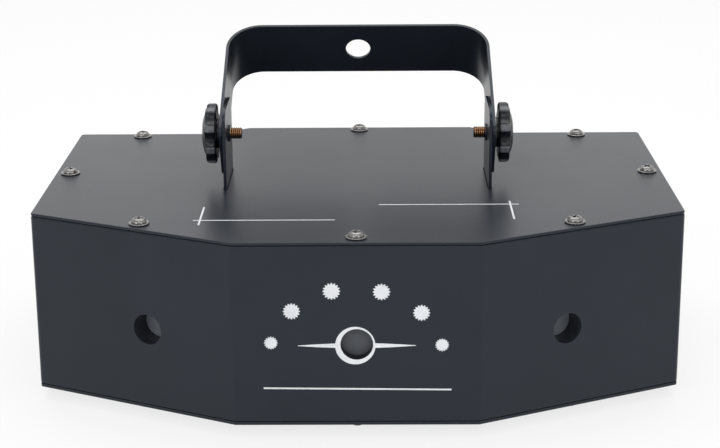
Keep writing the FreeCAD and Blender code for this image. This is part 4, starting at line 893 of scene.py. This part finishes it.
def make_world():
    """White surroundings, dimmer as a light than as a background, that mirror darker towards the front."""
    world = bpy.data.worlds.new("studio")
    scene.world = world
    world.use_nodes = True
    background = world.node_tree.nodes["Background"]
    background.inputs["Color"].default_value = (1, 1, 1, 1)
    direction = add_node(world, "ShaderNodeSeparateXYZ")
    link(world, add_node(world, "ShaderNodeTexCoord").outputs["Generated"], direction.inputs["Vector"])
    mirrored = add_node(world, "ShaderNodeMapRange")
    mirrored.inputs["From Min"].default_value, mirrored.inputs["From Max"].default_value = WORLD_FADE
    mirrored.inputs["To Min"].default_value = WORLD_FRONT
    link(world, direction.outputs["Y"], mirrored.inputs["Value"])
    shown = add_node(world, "ShaderNodeMapRange")
    shown.inputs["To Min"].default_value = 1.0
    link(world, add_node(world, "ShaderNodeLightPath").outputs["Is Glossy Ray"], shown.inputs["Value"])
    link(world, mirrored.outputs["Result"], shown.inputs["To Max"])
    strength = add_node(world, "ShaderNodeMapRange")
    strength.inputs["To Min"].default_value = WORLD_LIGHT
    link(world, seen_directly(world), strength.inputs["Value"])
    link(world, shown.outputs["Result"], strength.inputs["To Max"])
    link(world, strength.outputs["Result"], background.inputs["Strength"])


LAMP_AIM = Vector((0, 0, 0.08))
# Name, place, width and height in metres, and power in watts
SOFTBOXES = [
    ("top_softbox", (0, 0.35, 1.5), 1.6, 1.2, 12),
    ("left_softbox", (-1.0, -1.4, 0.7), 0.9, 0.9, 5.5),
    ("right_softbox", (1.0, -1.4, 0.7), 0.9, 0.9, 4.5),
    ("front_softbox", (0, -1.3, 1.1), 0.6, 0.4, 3),
    ("back_left_strip", (-0.6, 1.5, 0.32), 0.8, 0.4, 0.4),
    ("back_right_strip", (0.6, 1.5, 0.32), 0.8, 0.4, 0.3),
]


def make_softbox(name, at, width, height, power):
    """Area lamp that faces the object."""
    data = bpy.data.lights.new(name, "AREA")
    data.shape = "RECTANGLE"
    data.size, data.size_y = width, height
    data.energy = power
    lamp = bpy.data.objects.new(name, data)
    lamp.location = at
    lamp.rotation_euler = (LAMP_AIM - Vector(at)).to_track_quat("-Z", "Y").to_euler()
    scene.collection.objects.link(lamp)


# The photo's camera: place in metres, angles in radians, lens and sensor in millimetres
CAMERA_AT = (0.00834, -0.80343, 0.33220)
CAMERA_PITCH, CAMERA_YAW, CAMERA_ROLL = 0.2723, -0.0131, -0.0079
CAMERA_LENS, CAMERA_SENSOR = 82.69, 36
CAMERA_SHIFT = (0.0091, -0.1)
CAMERA_CLIP = (0.01, 100)


def make_camera():
    """Camera with a slight shift, as fitted to the photo."""
    data = bpy.data.cameras.new("photo_camera")
    data.sensor_fit = "HORIZONTAL"
    data.sensor_width = CAMERA_SENSOR
    data.lens = CAMERA_LENS
    data.shift_x, data.shift_y = CAMERA_SHIFT
    data.clip_start, data.clip_end = CAMERA_CLIP
    camera = bpy.data.objects.new("photo_camera", data)
    level = math.cos(CAMERA_PITCH)
    forward = Vector((math.sin(CAMERA_YAW) * level, math.cos(CAMERA_YAW) * level, -math.sin(CAMERA_PITCH)))
    right = Vector((math.cos(CAMERA_YAW), -math.sin(CAMERA_YAW), 0))
    turn = Matrix((right, right.cross(forward), -forward)).transposed().to_4x4()
    camera.matrix_world = Matrix.Translation(CAMERA_AT) @ turn @ Matrix.Rotation(CAMERA_ROLL, 4, "Z")
    scene.collection.objects.link(camera)
    scene.camera = camera


make_floor()
make_world()
for softbox in SOFTBOXES:
    make_softbox(*softbox)
make_camera()
scene.view_settings.view_transform = "Standard"
